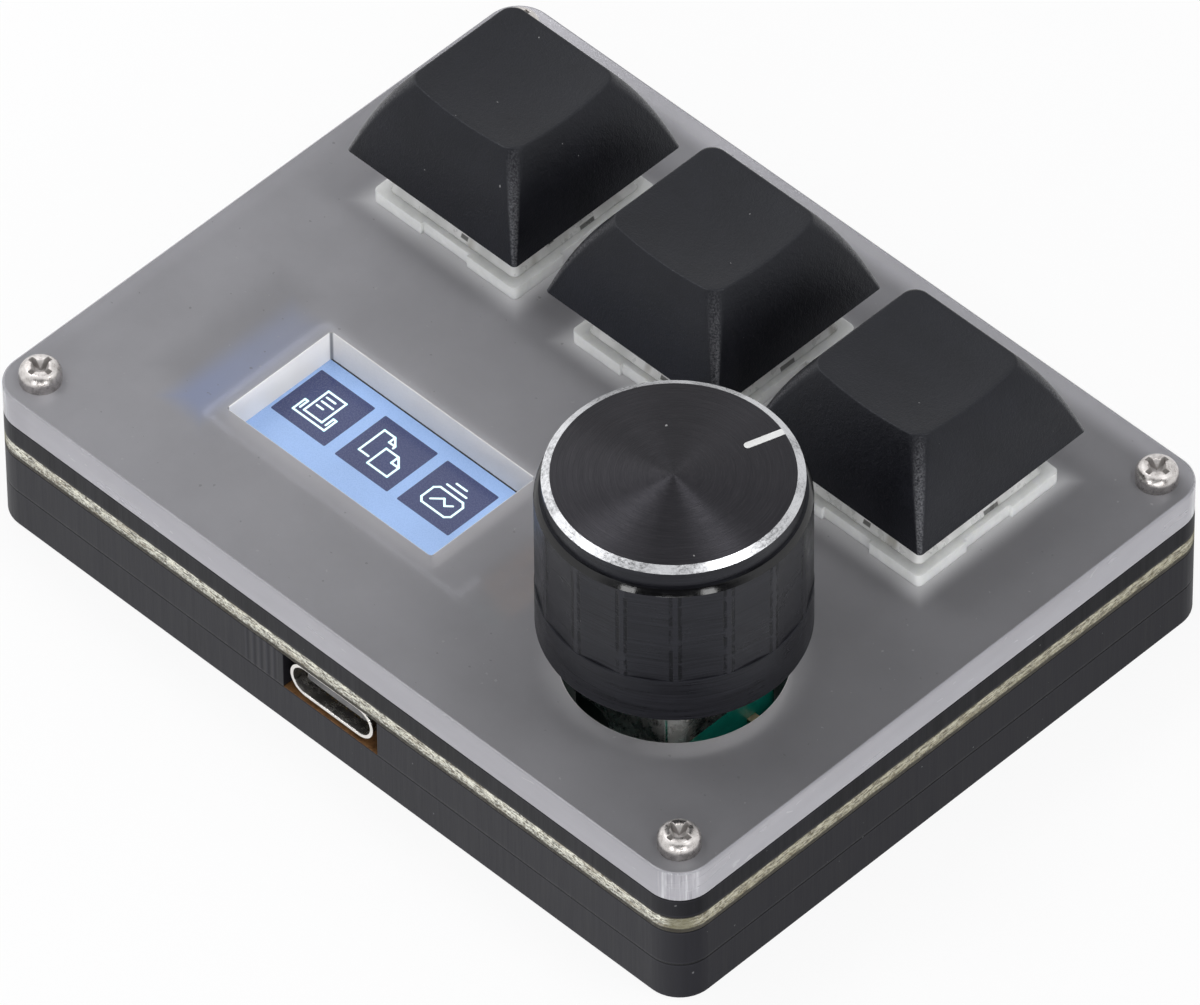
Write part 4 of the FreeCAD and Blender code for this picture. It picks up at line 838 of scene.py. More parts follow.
class KEYPAD_OT_circuit_board(Operator):
    """Circuit board and the small parts soldered under it."""

    bl_idname = "keypad.circuit_board"
    bl_label = "Circuit board"

    def execute(self, context):
        dress(["circuit_board"], laminate())
        chip = moulded("chip_resin", (0.022, 0.022, 0.024), 0.55, 7.0, 0.012, 0.2)
        dress(["controller_chip", "memory_chip", "regulator_chip"], chip)
        dress(["chip_resistors"], moulded("resistor_body", (0.028, 0.028, 0.032), 0.4, 5.0, 0.006))
        dress(["chip_capacitors"], moulded("capacitor_body", (0.42, 0.30, 0.18), 0.5, 8.0, 0.01))
        tin = sheet_metal("lead_tin", (0.72, 0.72, 0.70), 0.32, (4.0, 4.0, 1.0))
        dress(["chip_leads", "crystal_can"], tin)
        return {"FINISHED"}


class KEYPAD_OT_screws(Operator):
    """Four nickel screws and the nuts in the bottom cover."""

    bl_idname = "keypad.screws"
    bl_label = "Screws and nuts"

    def execute(self, context):
        dress(["case_screws"], screw_metal())
        dress(["case_nuts"], sheet_metal("nut_nickel", (0.66, 0.64, 0.60), 0.3, (1.0, 1.0, 5.0)))
        return {"FINISHED"}


# Keys

# Points on each side and on each corner of a keycap's section
CAP_STEPS = 10
# Corner radii of the keycap's section at its foot and at its full height, millimetres
FOOT_CORNER, TOP_CORNER = 0.4, 1.4
# Height of the cross at the top of a switch's stem
CROSS_HEIGHT = 3.5 * MM


def keycap_plastic():
    """Matte keycap plastic: fine spark grain, a few dust specks, and a grainy painted highlight on
    the rounded corners.
    """
    look = bpy.context.scene.keypad_keys
    made = Finish("keycap_plastic", Specular_IOR_Level=0.29, Specular_Tint=(0.90, 0.93, 1.0))
    spot = made.place()
    grain = made.noise(spot, 6.5, 3.0, 0.65)
    coarse = made.noise(spot, 2.4, 3.0, 0.55)
    cloud = made.noise(spot, 0.28, 3.0)
    dust = made.ramp(made.noise(spot, 2.0, 1.0, 0.3), 0.815, 0.83)
    colour = made.tones(cloud, 0.3, 0.7, look.cap_colour, 0.8, 1.2)
    colour = made.mix(made.ramp(grain, 0.55, 0.75, 0.0, 0.5), colour, shade(look.cap_colour, 2.0))
    facing = made.facing()
    # Painted highlight: grainy lighter colour on the rounded upright corners
    corner = made.ramp(made.unsigned(made.times(facing[0], facing[1])), 0.14, 0.36, smooth=True)
    painted_corner_highlight = made.times(corner, made.ramp(grain, 0.42, 0.62, 0.12, 1.0))
    colour = made.mix(painted_corner_highlight, colour, (0.088, 0.088, 0.095))
    colour = made.mix(made.times(dust, 0.5), colour, (0.42, 0.42, 0.42))
    rough = made.ramp(made.plus(grain, coarse), 0.7, 1.3, 0.30, 0.50)
    height = made.plus(grain, made.times(coarse, 0.8))
    return made.finished(colour, made.minus(rough, made.times(corner, 0.06)),
                         made.bump(height, 0.045, 0.7))


def cap_point(look, share, index, grow=0.0):
    """One point of the cap's section at a share of its full height, counted round from +X."""
    bulge = look.cap_bulge * share * (1 - share * share)
    half = (look.cap_base + (look.cap_top - look.cap_base) * share) / 2 + bulge + grow
    radius = (FOOT_CORNER + (TOP_CORNER - FOOT_CORNER) * share) * MM
    straight = half - radius
    turn, rest = divmod(index, 2 * CAP_STEPS)
    angle = math.pi / 2 * turn
    across = Vector((math.cos(angle), math.sin(angle)))
    along = Vector((-math.sin(angle), math.cos(angle)))
    if rest < CAP_STEPS:
        return across * half + along * (-straight + 2 * straight * rest / CAP_STEPS)
    angle += math.pi / 2 * (rest - CAP_STEPS) / CAP_STEPS
    centre = across * straight + along * straight
    return centre + Vector((math.cos(angle), math.sin(angle))) * radius


def cap_shape(look, stem_top):
    """Returns a maker for the keycap's mesh round the origin, its skirt at height zero."""
    count = 8 * CAP_STEPS
    ceiling, post_radius = 5.6 * MM, 2.75 * MM

    def dish(point):
        return look.dish_level + look.dish_radius - math.sqrt(
            look.dish_radius ** 2 - point.length_squared)

    def make(shape):
        tall, across = 20, 12
        sides, rim, lids = [], [], []
        for index in range(count):
            low, high = 0.5, 1.0
            for _ in range(40):
                middle = (low + high) / 2
                if middle * look.cap_height < dish(cap_point(look, middle, index)):
                    low = middle
                else:
                    high = middle
            edge = cap_point(look, low, index)
            under = low - look.rim_rounding / look.cap_height
            below = cap_point(look, under, index)
            inside = edge * (1 - look.rim_rounding / edge.length)
            sides.append(under)
            rim.append([Vector((below.x, below.y, under * look.cap_height)),
                        Vector((edge.x, edge.y, low * look.cap_height)),
                        Vector((inside.x, inside.y, dish(inside)))])
            lids.append(inside)
        rings = []
        for level in range(tall + 1):
            ring = []
            for index in range(count):
                share = sides[index] * level / tall
                point = cap_point(look, share, index)
                ring.append(shape.verts.new((*point, share * look.cap_height)))
            rings.append(ring)
        for turn in (0.25, 0.5, 0.75, 1.0):
            ring = []
            for first, top, last in rim:
                point = first.lerp(top, turn).lerp(top.lerp(last, turn), turn)
                ring.append(shape.verts.new(point))
            rings.append(ring)
        for step in range(1, across):
            ring = []
            for inside in lids:
                point = inside * (1 - step / across)
                ring.append(shape.verts.new((*point, dish(point))))
            rings.append(ring)
        join_rings(shape, rings)
        peak = shape.verts.new((0.0, 0.0, dish(Vector((0.0, 0.0)))))
        last = rings[-1]
        for index, vert in enumerate(last):
            shape.faces.new((vert, last[(index + 1) % count], peak))
        inner = []
        for level in range(7):
            share = ceiling / look.cap_height * level / 6
            points = [cap_point(look, share, index, -look.wall) for index in range(count)]
            inner.append([shape.verts.new((*point, share * look.cap_height)) for point in points])
        join_rings(shape, [rings[0], inner[0]])
        join_rings(shape, inner)
        first = math.atan2(inner[-1][0].co.y, inner[-1][0].co.x)
        mount = [round_point((0.0, 0.0), post_radius, first + 2 * math.pi * index / count)
                 for index in range(count)]
        post = [[shape.verts.new((x, y, level)) for x, y in mount]
                for level in (ceiling, stem_top + 0.1 * MM)]
        join_rings(shape, [inner[-1], post[0]])
        join_rings(shape, post)
        shape.faces.new(post[1])
    return make


class KEYPAD_OT_keycaps(Operator):
    """Three matte keycaps with leaning, slightly bowed faces and a dished top."""

    bl_idname = "keypad.keycaps"
    bl_label = "Keycaps"

    def execute(self, context):
        look = context.scene.keypad_keys
        plastic = keycap_plastic()
        for number in KEYS:
            low, _, middle = span("keycap_" + number)
            stem_top = span("stem_" + number)[1].z - CROSS_HEIGHT - low.z

            def placed(shape):
                cap_shape(look, stem_top)(shape)
                bmesh.ops.translate(shape, verts=shape.verts, vec=(middle.x, middle.y, low.z))

            add_piece("keycap_shell_" + number, placed, [plastic], "key_" + number,
                      ["keycap_" + number], 40.0, weighted=False)
        return {"FINISHED"}


def milky_nylon():
    """Milky lower housing: light passes a little way in, with flow marks that run greyer in
    places.
    """
    look = bpy.context.scene.keypad_keys
    made = Finish("milky_nylon", Subsurface_Weight=0.6, Subsurface_Scale=0.0012,
                  Subsurface_Radius=(1.0, 1.0, 0.9), IOR=1.5, Coat_Weight=0.1, Coat_Roughness=0.3)
    spot = made.place()
    flow = made.noise(spot, 0.7, 4.0, 0.6, 0.4)
    fine = made.noise(spot, 5.0, 3.0)
    return made.finished(made.tones(flow, 0.3, 0.7, look.housing_colour, 0.93, 1.05),
                         made.ramp(fine, 0.3, 0.7, 0.3, 0.48),
                         made.bump(fine, 0.008, 0.6, made.soft_edge(0.12)))


def clear_housing():
    """Upper housing: cloudy clear plastic with paler ribs, greyer brownish patches and clip slots
    painted dark as their shade.
    """
    made = Finish("clear_housing", IOR=1.5, Transmission_Weight=0.10, Subsurface_Weight=0.2,
                  Subsurface_Scale=0.0008, Subsurface_Radius=(1.0, 1.0, 1.0))
    spot = made.place()
    parts = made.parts(spot)
    first, pitch = span("stem_3")[2] / MM, (span("stem_2")[2].x - span("stem_3")[2].x) / MM
    along_x = made.maths("FLOORED_MODULO", made.minus(parts[0], first.x - pitch / 2), pitch)
    along_x = made.minus(along_x, pitch / 2)
    along_y = made.minus(parts[1], first.y)
    over = made.minus(parts[2], PLATE_HIGH.z / MM + 1.2)
    haze = made.noise(spot, 0.9, 4.0, 0.6)
    ribs = made.noise((1.0, 1.0, 0.12), 0.45, 2.0, 0.4)
    # Greyer brownish patches, placed by noise
    greyer_patches = made.ramp(made.noise((1.0, 1.0, 0.5), 0.38, 2.0, 0.5), 0.58, 0.70)
    colour = made.mix(made.ramp(ribs, 0.38, 0.62), (0.66, 0.665, 0.65), (0.85, 0.85, 0.84))
    colour = made.mix(made.times(greyer_patches, 0.7), colour, (0.36, 0.34, 0.29))
    facing = made.facing()
    # Painted shade: dark clip slots on the upright faces, standing in for the shade inside the
    # slots
    painted_slot_shade = 0.0
    for across, side, place, length, level in (
            (along_x, 1, 1.6, 0.9, 0.95), (along_x, 1, -1.3, 0.7, 0.45),
            (along_y, 0, -1.1, 1.5, 0.22), (along_y, 0, 2.7, 0.5, 0.9)):
        here = made.ramp(made.larger(made.beside(across, place, length / 2),
                                     made.beside(over, level, 0.17)), 0.06, -0.02)
        here = made.times(here, made.ramp(made.unsigned(facing[side]), 0.4, 0.6))
        painted_slot_shade = made.larger(painted_slot_shade, here)
    colour = made.mix(made.times(painted_slot_shade, 0.85), colour, (0.05, 0.05, 0.045))
    return made.finished(colour, made.ramp(haze, 0.3, 0.7, 0.22, 0.42),
                         made.bump(made.minus(ribs, painted_slot_shade), 0.05, 0.5, made.soft_edge(0.12)))


class KEYPAD_OT_switches(Operator):
    """Key switches: milky and clear housings, sliders, contacts and springs."""

    bl_idname = "keypad.switches"
    bl_label = "Key switches"

    def execute(self, context):
        milky, clear = milky_nylon(), clear_housing()
        slider = moulded("slider_plastic", (0.030, 0.030, 0.033), 0.34, 5.0, 0.005)
        strip = sheet_metal("contact_brass", (0.78, 0.60, 0.32), 0.3, (1.0, 1.0, 7.0))
        wire = sheet_metal("spring_wire", (0.66, 0.66, 0.65), 0.24, (6.0, 6.0, 1.0))
        for node, material in (("switch_base_", milky), ("switch_top_", clear), ("stem_", slider),
                               ("switch_contacts_", strip), ("key_spring_", wire)):
            dress([node + number for number in KEYS], material)
        return {"FINISHED"}


# Display

# Lines of the three pictograms, each in a field whose middle is SIGN_MIDDLE
PAGES = [
    [(1.55, 1.2), (1.55, 3.4), (3.15, 3.4), (3.15, 1.2), (1.55, 1.2)],
    [(1.85, 2.95), (2.6, 2.95)], [(1.85, 2.5), (2.85, 2.5)], [(1.85, 2.05), (2.4, 2.05)],
    [(1.2, 1.9), (0.95, 1.9), (0.95, 0.8), (3.75, 0.8), (3.75, 1.9), (3.5, 1.9)],
    [(1.2, 1.2), (1.2, 1.9)], [(3.5, 1.2), (3.5, 1.9)],
]
SHEETS = [
    [(0.8, 1.2), (0.8, 3.5), (1.75, 3.5), (2.3, 2.95), (2.3, 2.75)],
    [(0.8, 1.2), (1.65, 1.2)], [(1.75, 3.5), (1.75, 2.95), (2.3, 2.95)],
    [(2.0, 0.75), (2.0, 2.45), (3.1, 2.45), (3.75, 1.8), (3.75, 0.75), (2.0, 0.75)],
    [(3.1, 2.45), (3.1, 1.8), (3.75, 1.8)],
]
FRAMES = [
    [(1.0, 1.75), (1.0, 1.1), (1.3, 0.8), (3.3, 0.8), (3.6, 1.1), (3.6, 2.2), (3.3, 2.5),
     (1.3, 2.5), (1.0, 2.2), (1.0, 1.75)],
    [(1.45, 2.95), (3.15, 2.95)], [(1.85, 3.4), (2.75, 3.4)],
    [(1.55, 1.35), (2.2, 1.95), (2.65, 1.5), (3.05, 1.85)],
]
SIGN_MIDDLE = (2.3, 2.15)
# Millimetres of the picture for one unit of a pictogram
SIGN_SCALE = 1.22
# Low and high corner of the picture, then the middle, length and width of each tile, millimetres
PICTURE_LOW, PICTURE_HIGH = (1.45, 7.09), (22.95, 17.6)
TILES = ((18.8, 11.15, 5.9, 5.6), (11.87, 11.15, 5.75, 5.6), (5.17, 11.15, 5.6, 5.6))
# Height from one layer of the picture to the next, and the thickness of each
LAYER_STEP, LAYER_THICKNESS = 0.015 * MM, 0.012 * MM


def screen_light(name, colour, glow, gloss):
    """A lit part of the picture under the display's glossy front sheet."""
    made = Finish(name, Emission_Strength=glow, Coat_Weight=0.5, Coat_Roughness=0.06,
                  Roughness=0.35)
    spot = made.place()
    cloud = made.noise(spot, 0.2, 2.0)
    dots = made.noise(spot, 12.0, 1.0)
    tone = made.tones(cloud, 0.25, 0.75, colour, 0.93, 1.07)
    made.set("Emission Color", tone)
    return made.finished(tone, made.ramp(dots, 0.3, 0.7, gloss, gloss + 0.12),
                         made.bump(dots, 0.002, 0.3))


def flat_shape(points, level, thickness):
    """Returns a maker for a thin slab over an outline."""
    def make(shape):
        lower = [shape.verts.new((x, y, level - thickness)) for x, y in points]
        upper = [shape.verts.new((x, y, level)) for x, y in points]
        join_rings(shape, [lower, upper])
        shape.faces.new(upper)
        shape.faces.new(lower[::-1])
    return make


def stroke(shape, first, second, width, level, thickness):
    """One straight line of a pictogram with round ends."""
    along = Vector(second) - Vector(first)
    start = math.atan2(along.y, along.x)
    points = []
    for end, turn in ((second, -math.pi / 2), (first, math.pi / 2)):
        for step in range(7):
            points.append(round_point(end, width / 2, start + turn + math.pi * step / 6))
    flat_shape(points, level, thickness)(shape)


class KEYPAD_OT_display(Operator):
    """Display panel, its lit picture with three tiles, and the parts that hold it."""

    bl_idname = "keypad.display"
    bl_label = "Display"

    def execute(self, context):
        look = context.scene.keypad_screen
        panel_top = GLASS_HIGH.z - 0.08 * MM
        glass = Finish("panel_glass", Coat_Weight=0.6, Coat_Roughness=0.05, IOR=1.52)
        smear = glass.noise(glass.place(), 0.3, 4.0, 0.6)
        glass.finished(
            glass.mix(glass.ramp(smear, 0.3, 0.7), (0.012, 0.013, 0.018), (0.022, 0.024, 0.032)),
            glass.ramp(smear, 0.3, 0.7, 0.08, 0.2),
            glass.bump(smear, 0.002, 0.3, glass.soft_edge(0.05)))

        def slab(shape):
            outline = rounded_rectangle(GLASS_MIDDLE, GLASS_HIGH.x - GLASS_LOW.x,
                                        GLASS_HIGH.y - GLASS_LOW.y, 0.3 * MM, 4)
            for ring in plate_rings(shape, outline, GLASS_LOW.z, panel_top, 0.04 * MM, 0):
                fill(shape, [ring], 0)

        add_piece("display_panel", slab, [glass.material], "case",
                  ["display_glass"], 50.0)
        ground = screen_light("screen_ground", look.ground_colour, look.glow, 0.22)
        tile = screen_light("screen_tile", look.tile_colour, look.glow, 0.2)
        sign = screen_light("screen_sign", look.sign_colour, look.glow, 0.2)
        low, high = Vector(PICTURE_LOW) * MM, Vector(PICTURE_HIGH) * MM
        field = rounded_rectangle((low + high) / 2, high.x - low.x, high.y - low.y, 0.1 * MM, 2)
        add_piece("screen_picture_ground",
                  flat_shape(field, panel_top + LAYER_STEP, LAYER_THICKNESS), [ground], "case")
        level = panel_top + 2 * LAYER_STEP
        for number, (x, y, wide, tall) in enumerate(TILES, 1):
            outline = rounded_rectangle((x * MM, y * MM), wide * MM, tall * MM, 0.12 * MM, 4)
            add_piece("screen_tile_%d" % number, flat_shape(outline, level, LAYER_THICKNESS),
                      [tile], "case")
            strokes = (PAGES, SHEETS, FRAMES)[number - 1]

            def signs(shape):
                for line in strokes:
                    ends = [((x - (u - SIGN_MIDDLE[0]) * SIGN_SCALE) * MM,
                             (y - (v - SIGN_MIDDLE[1]) * SIGN_SCALE) * MM) for u, v in line]
                    for first, second in zip(ends, ends[1:]):
                        stroke(shape, first, second, look.line_width, level + LAYER_STEP,
                               LAYER_THICKNESS)

            add_piece("screen_sign_%d" % number, signs, [sign], "case",
                      angle=60.0, weighted=False)
        dress(["display_frame"],
              moulded("backlight_frame", (0.80, 0.81, 0.83), 0.4, 5.0, 0.005, 0.06))
        dress(["display_tape"], moulded("tape_foam", (0.035, 0.035, 0.035), 0.85, 3.0, 0.08, 0.3))
        ribbon = moulded("ribbon_film", (0.42, 0.19, 0.035), 0.28, 3.0, 0.01, 0.2, 0.03,
                         Coat_Weight=0.4, Coat_Roughness=0.12)
        dress(["display_ribbon"], ribbon)
        return {"FINISHED"}


# Encoder under the knob
def teal_base():
    """Moulded encoder base: teal, with painted shade to nearly black beside the display."""
    made = Finish("teal_base", Coat_Weight=0.15, Coat_Roughness=0.2)
    spot = made.place()
    parts = made.parts(spot)
    cloud = made.noise(spot, 0.55, 4.0)
    fine = made.noise(spot, 4.0, 3.0)
    colour = made.mix(made.ramp(cloud, 0.3, 0.7), (0.004, 0.30, 0.225), (0.012, 0.44, 0.34))
    # Painted shade: the base turns nearly black towards +X, beside the display
    across = made.minus(parts[0], KNOB_MIDDLE.x / MM)
    painted_shade = made.ramp(made.plus(across, made.times(cloud, 2.0)), -0.5, 1.5)
    return made.finished(made.mix(painted_shade, colour, (0.006, 0.014, 0.012)),
                         made.ramp(fine, 0.25, 0.75, 0.26, 0.44),
                         made.bump(fine, 0.008, 0.7, made.soft_edge(0.08)))


class KEYPAD_OT_encoder(Operator):
    """Rotary encoder under the knob: teal base, steel bracket, shaft and pins."""

    bl_idname = "keypad.encoder"
    bl_label = "Rotary encoder"

    def execute(self, context):
        dress(["encoder_base"], teal_base())
        dress(["encoder_bracket"], sheet_metal("bracket_steel", (0.68, 0.68, 0.67), 0.26,
                                               (1.0, 1.0, 5.0), 0.006, 0.14, 0.1))
        cast = sheet_metal("cast_metal", (0.60, 0.60, 0.59), 0.36, (1.0, 1.0, 4.0), 0.008)
        dress(["encoder_bushing", "encoder_shaft"], cast)
        dress(["encoder_rotor"], moulded("rotor_plastic", (0.045, 0.045, 0.048), 0.42))
        dress(["encoder_wipers"], sheet_metal("wiper_bronze", (0.74, 0.56, 0.33), 0.26))
        spring = sheet_metal("detent_steel", (0.66, 0.66, 0.66), 0.22)
        dress(["encoder_detent", "push_dome"], spring)
        dress(["encoder_pins"],
              sheet_metal("pin_copper", (0.95, 0.63, 0.42), 0.4, (1.0, 1.0, 9.0), 0.03))
        return {"FINISHED"}


# Knob
def around_knob(made):
    """Angle round the knob's axis."""
    parts = made.parts(made.place())
    return made.maths("ARCTAN2", made.minus(parts[1], KNOB_MIDDLE.y / MM),
                      made.minus(parts[0], KNOB_MIDDLE.x / MM))


def anodised_face():
    """Turned and anodised face of the knob: fine grooves that draw light into wedges."""
    look = bpy.context.scene.keypad_knob
    made = Finish("anodised_face", Metallic=1.0, Anisotropic=0.93, Anisotropic_Rotation=0.25)
    radius = made.from_axis(KNOB_MIDDLE / MM)
    ring = made.vector(radius)
    grooves = made.noise(ring, MM / look.groove_pitch, 3.0, 0.7)
    broad = made.noise(ring, 1.1, 2.0)
    turn = made.vector(made.times(radius, 8.0), made.times(around_knob(made), 3.0))
    broken = made.noise(turn, 1.0, 3.0, 0.6)
    dust = made.ramp(made.noise(made.place(), 1.1, 1.0, 0.3), 0.80, 0.81)
    tone = made.mix(made.ramp(made.plus(grooves, broad), 0.7, 1.3),
                    (0.0300, 0.0295, 0.0335), (0.0375, 0.0365, 0.0415))
    tone = made.mix(made.ramp(broken, 0.45, 0.75, 0.0, 0.4), tone, (0.058, 0.056, 0.062))
    round_axis = made.node("ShaderNodeTangent", direction_type="RADIAL", axis="Z")
    made.set("Tangent", round_axis.outputs[0])
    steps = made.maths("FRACT", made.times(radius, 2.5))
    height = made.plus(made.times(steps, -2.2), made.plus(grooves, made.times(broken, 2.0)))
    height = made.minus(height, made.times(radius, 18.0))
    return made.finished(made.mix(made.times(dust, 0.6), tone, (0.6, 0.6, 0.6)),
                         made.ramp(grooves, 0.3, 0.7, 0.35, 0.43), made.bump(height, 0.016, 0.9))


def anodised_side():
    """Anodised side of the knob: fine turning lines, burrs beside the flats, lighter ridges
    between the flats.
    """
    look = bpy.context.scene.keypad_knob
    made = Finish("anodised_side", Specular_IOR_Level=0.20, Specular_Tint=(0.84, 0.88, 1.0))
    level = made.parts(made.place())[2]
    lines = made.noise((0.10, 0.10, 5.0), 1.6, 4.0, 0.7)
    rough = made.noise((1.2, 1.2, 7.0), 1.3, 3.0, 0.7)
    cloud = made.noise(made.place(), 0.5, 3.0)
    sector = 2 * math.pi / look.flats
    local = made.maths("FLOORED_MODULO", around_knob(made), sector)
    local = made.unsigned(made.minus(local, sector / 2))
    half = math.asin(look.flat_width / 2 / GRIP_RADIUS)
    on_grip = made.times(made.ramp(level, GRIP_LOW / MM - 0.1, GRIP_LOW / MM),
                         made.ramp(level, GRIP_HIGH / MM + 0.02, GRIP_HIGH / MM - 0.04))
    ridge = made.times(made.ramp(local, half - 0.004, half + 0.004), on_grip)
    line = made.ramp(made.unsigned(made.minus(local, half - 0.006)), 0.018, 0.009)
    broken = made.noise((0.9, 0.9, 1.0), 0.9, 3.0, 0.7)
    line = made.times(made.times(line, on_grip), made.ramp(broken, 0.42, 0.54))
    tone = made.tones(lines, 0.3, 0.7, look.shell_colour, 0.3, 1.8)
    tone = made.mix(made.times(ridge, 0.4), tone, shade(look.shell_colour, 2.0))
    tone = made.mix(made.times(line, 0.85), tone, shade(look.shell_colour, 0.04))
    height = made.minus(made.plus(lines, made.times(rough, 0.6)), made.times(line, 3.0))
    return made.finished(tone, made.ramp(made.plus(lines, cloud), 0.7, 1.3, 0.24, 0.42),
                         made.bump(height, 0.017, 0.6))


def shoulder_gloss():
    """Glossy rounded shoulder between the grip and the collar."""
    look = bpy.context.scene.keypad_knob
    made = Finish("shoulder_gloss", Specular_IOR_Level=0.45)
    lines = made.noise((0.10, 0.10, 6.0), 1.6, 3.0, 0.7)
    chatter = made.noise((1.4, 1.4, 0.6), 1.0, 3.0)
    return made.finished(made.tones(lines, 0.3, 0.7, look.shell_colour, 0.1, 0.5),
                         made.ramp(chatter, 0.3, 0.7, 0.08, 0.17),
                         made.bump(made.plus(lines, chatter), 0.018, 0.5))


def bright_bevel():
    """Bright diamond-turned bevel with chatter and greyer stretches round it, painted as
    reflections of darker surroundings.
    """
    look = bpy.context.scene.keypad_knob
    made = Finish("bright_bevel", Metallic=1.0)
    angle, level = around_knob(made), made.parts(made.place())[2]
    turn = made.vector(made.times(angle, 26.0), made.times(level, 9.0))
    chatter = made.noise(turn, 1.0, 4.0, 0.7)
    slow = made.vector(made.maths("COSINE", angle), made.maths("SINE", angle))
    # Painted reflection: greyer stretches round the bevel stand in for darker surroundings
    # reflected in it
    painted_reflection_mask = made.ramp(made.noise(slow, 2.6, 2.0, 0.4), 0.44, 0.56)
    bright = made.tones(chatter, 0.35, 0.7, look.bevel_colour, 0.88, 1.06)
    grey = made.tones(chatter, 0.40, 0.60, look.bevel_colour, 0.22, 0.85)
    return made.finished(made.mix(made.times(painted_reflection_mask, 0.7), bright, grey),
                         made.ramp(chatter, 0.3, 0.7, 0.22, 0.38), made.bump(chatter, 0.012, 0.5))


def knob_radius(look, angle, full, flat):
    """Radius of the grip at an angle: a flat's chord or the round strip between flats."""
    sector = 2 * math.pi / look.flats
    local = (angle + sector / 2) % sector - sector / 2
    return min(full, flat / math.cos(local))


class KEYPAD_OT_knob(Operator):
    """Turned black knob with flats, a bright bevel and a white pointer line."""

    bl_idname = "keypad.knob"
    bl_label = "Knob"

    def execute(self, context):
        look = context.scene.keypad_knob
        foot, face = KNOB_LOW.z, KNOB_FACE
        full, skirt, collar, rim = GRIP_RADIUS, 10.62 * MM, 10.0 * MM, 9.35 * MM
        flat = math.sqrt(full ** 2 - (look.flat_width / 2) ** 2)
        half = math.asin(look.flat_width / 2 / full)
        sector = 2 * math.pi / look.flats
        angles = []
        for number in range(look.flats):
            middle = sector * (number + 0.5)
            angles += [middle + half * share for share in (-1.0, -0.6, -0.2, 0.2, 0.6, 1.0)]
            angles += [middle + half + (sector - 2 * half) * share for share in (0.35, 0.65)]
        inner = full - 1.35 * MM
        soft = 0.06 * MM
        # Radius, level, whether the flats cut it, and the finish from it up to the next ring
        rings = [
            (inner, face - 1.6 * MM, 0, 0), (inner, foot + 0.3 * MM, 0, 0),
            (inner + 0.3 * MM, foot, 0, 0), (skirt - 0.25 * MM, foot, 0, 0),
            (skirt - 0.07 * MM, foot + 0.07 * MM, 0, 0), (skirt, foot + 0.25 * MM, 0, 0),
            (skirt, GRIP_LOW - 4 * soft, 0, 0), (skirt, GRIP_LOW - soft, 0, 0),
            (skirt - soft, GRIP_LOW, 0, 0), (full, GRIP_LOW + 0.005 * MM, 1, 0),
            (full, GRIP_LOW + 4 * soft, 1, 0), (full, GRIP_HIGH - 4 * soft, 1, 0),
            (full, GRIP_HIGH - 0.005 * MM, 1, 0), (full - 0.3 * soft, GRIP_HIGH, 0, 3),
            (full - 0.04 * MM, GRIP_HIGH + 0.04 * MM, 0, 3),
            (full - 0.16 * MM, GRIP_HIGH + 0.21 * MM, 0, 3),
            (full - 0.30 * MM, GRIP_HIGH + 0.41 * MM, 0, 3),
            (full - 0.38 * MM, GRIP_HIGH + 0.48 * MM, 0, 0),
            (collar + 0.05 * MM, COLLAR_LOW - 0.01 * MM, 0, 0), (collar, COLLAR_LOW, 0, 0),
            (collar, COLLAR_LOW + 4 * soft, 0, 0), (collar, COLLAR_TOP - 2 * soft, 0, 0),
            (collar, COLLAR_TOP, 0, 2), (rim, face, 0, 1),
        ]

        def turned(shape):
            made = []
            for radius, level, flats, _ in rings:
                ring = []
                for angle in angles:
                    here = knob_radius(look, angle - sector / 2, radius, flat) if flats else radius
                    ring.append(shape.verts.new((*round_point(KNOB_MIDDLE, here, angle), level)))
                made.append(ring)
            for lower, upper, spec in zip(made, made[1:], rings):
                join_rings(shape, [lower, upper], material=spec[3])
            face_rings = [made[-1]]
            for share in (0.9, 0.7, 0.5, 0.3, 0.12):
                face_rings.append([
                    shape.verts.new((*round_point(KNOB_MIDDLE, rim * share, angle), face))
                    for angle in angles])
            join_rings(shape, face_rings, material=1)
            centre = shape.verts.new((KNOB_MIDDLE.x, KNOB_MIDDLE.y, face))
            last = face_rings[-1]
            for index, vert in enumerate(last):
                made_face = shape.faces.new((vert, last[(index + 1) % len(last)], centre))
                made_face.material_index = 1
            shape.faces.new(made[0])

        piece = add_piece("knob_turned_shell", turned,
                          [anodised_side(), anodised_face(), bright_bevel(), shoulder_gloss()],
                          "knob", ["knob_shell"], 24.0)
        sharp = piece.data.attributes["sharp_edge"].data
        for edge in piece.data.edges:
            ends = [piece.data.vertices[index].co - KNOB_MIDDLE for index in edge.vertices]
            heights = sorted(end.z + KNOB_MIDDLE.z for end in ends)
            local = [math.atan2(end.y, end.x) % sector - sector / 2 for end in ends]
            if (heights[0] > GRIP_LOW and heights[1] < GRIP_HIGH
                    and abs(local[0] - local[1]) < 0.001 and abs(abs(local[0]) - half) < 0.001):
                sharp[edge.index].value = True
        white = moulded("pointer_paint", (0.80, 0.80, 0.79), 0.42, 6.0, 0.006, 0.05, 0.03)
        tilt = Matrix.Rotation(look.pointer_angle, 2)
        half_width = look.pointer_width / 2
        end = (rim - look.pointer_length + half_width, 0.0)
        outline = [round_point(end, half_width, math.pi / 2 + math.pi * step / 8)
                   for step in range(9)]
        outline += [(rim, -half_width), (rim, half_width)]
        outline = [tilt @ Vector(point) + KNOB_MIDDLE.xy for point in outline]

        def line(shape):
            for ring in plate_rings(shape, outline, face - 0.1 * MM, KNOB_HIGH.z, 0.015 * MM, 0):
                fill(shape, [ring], 0)

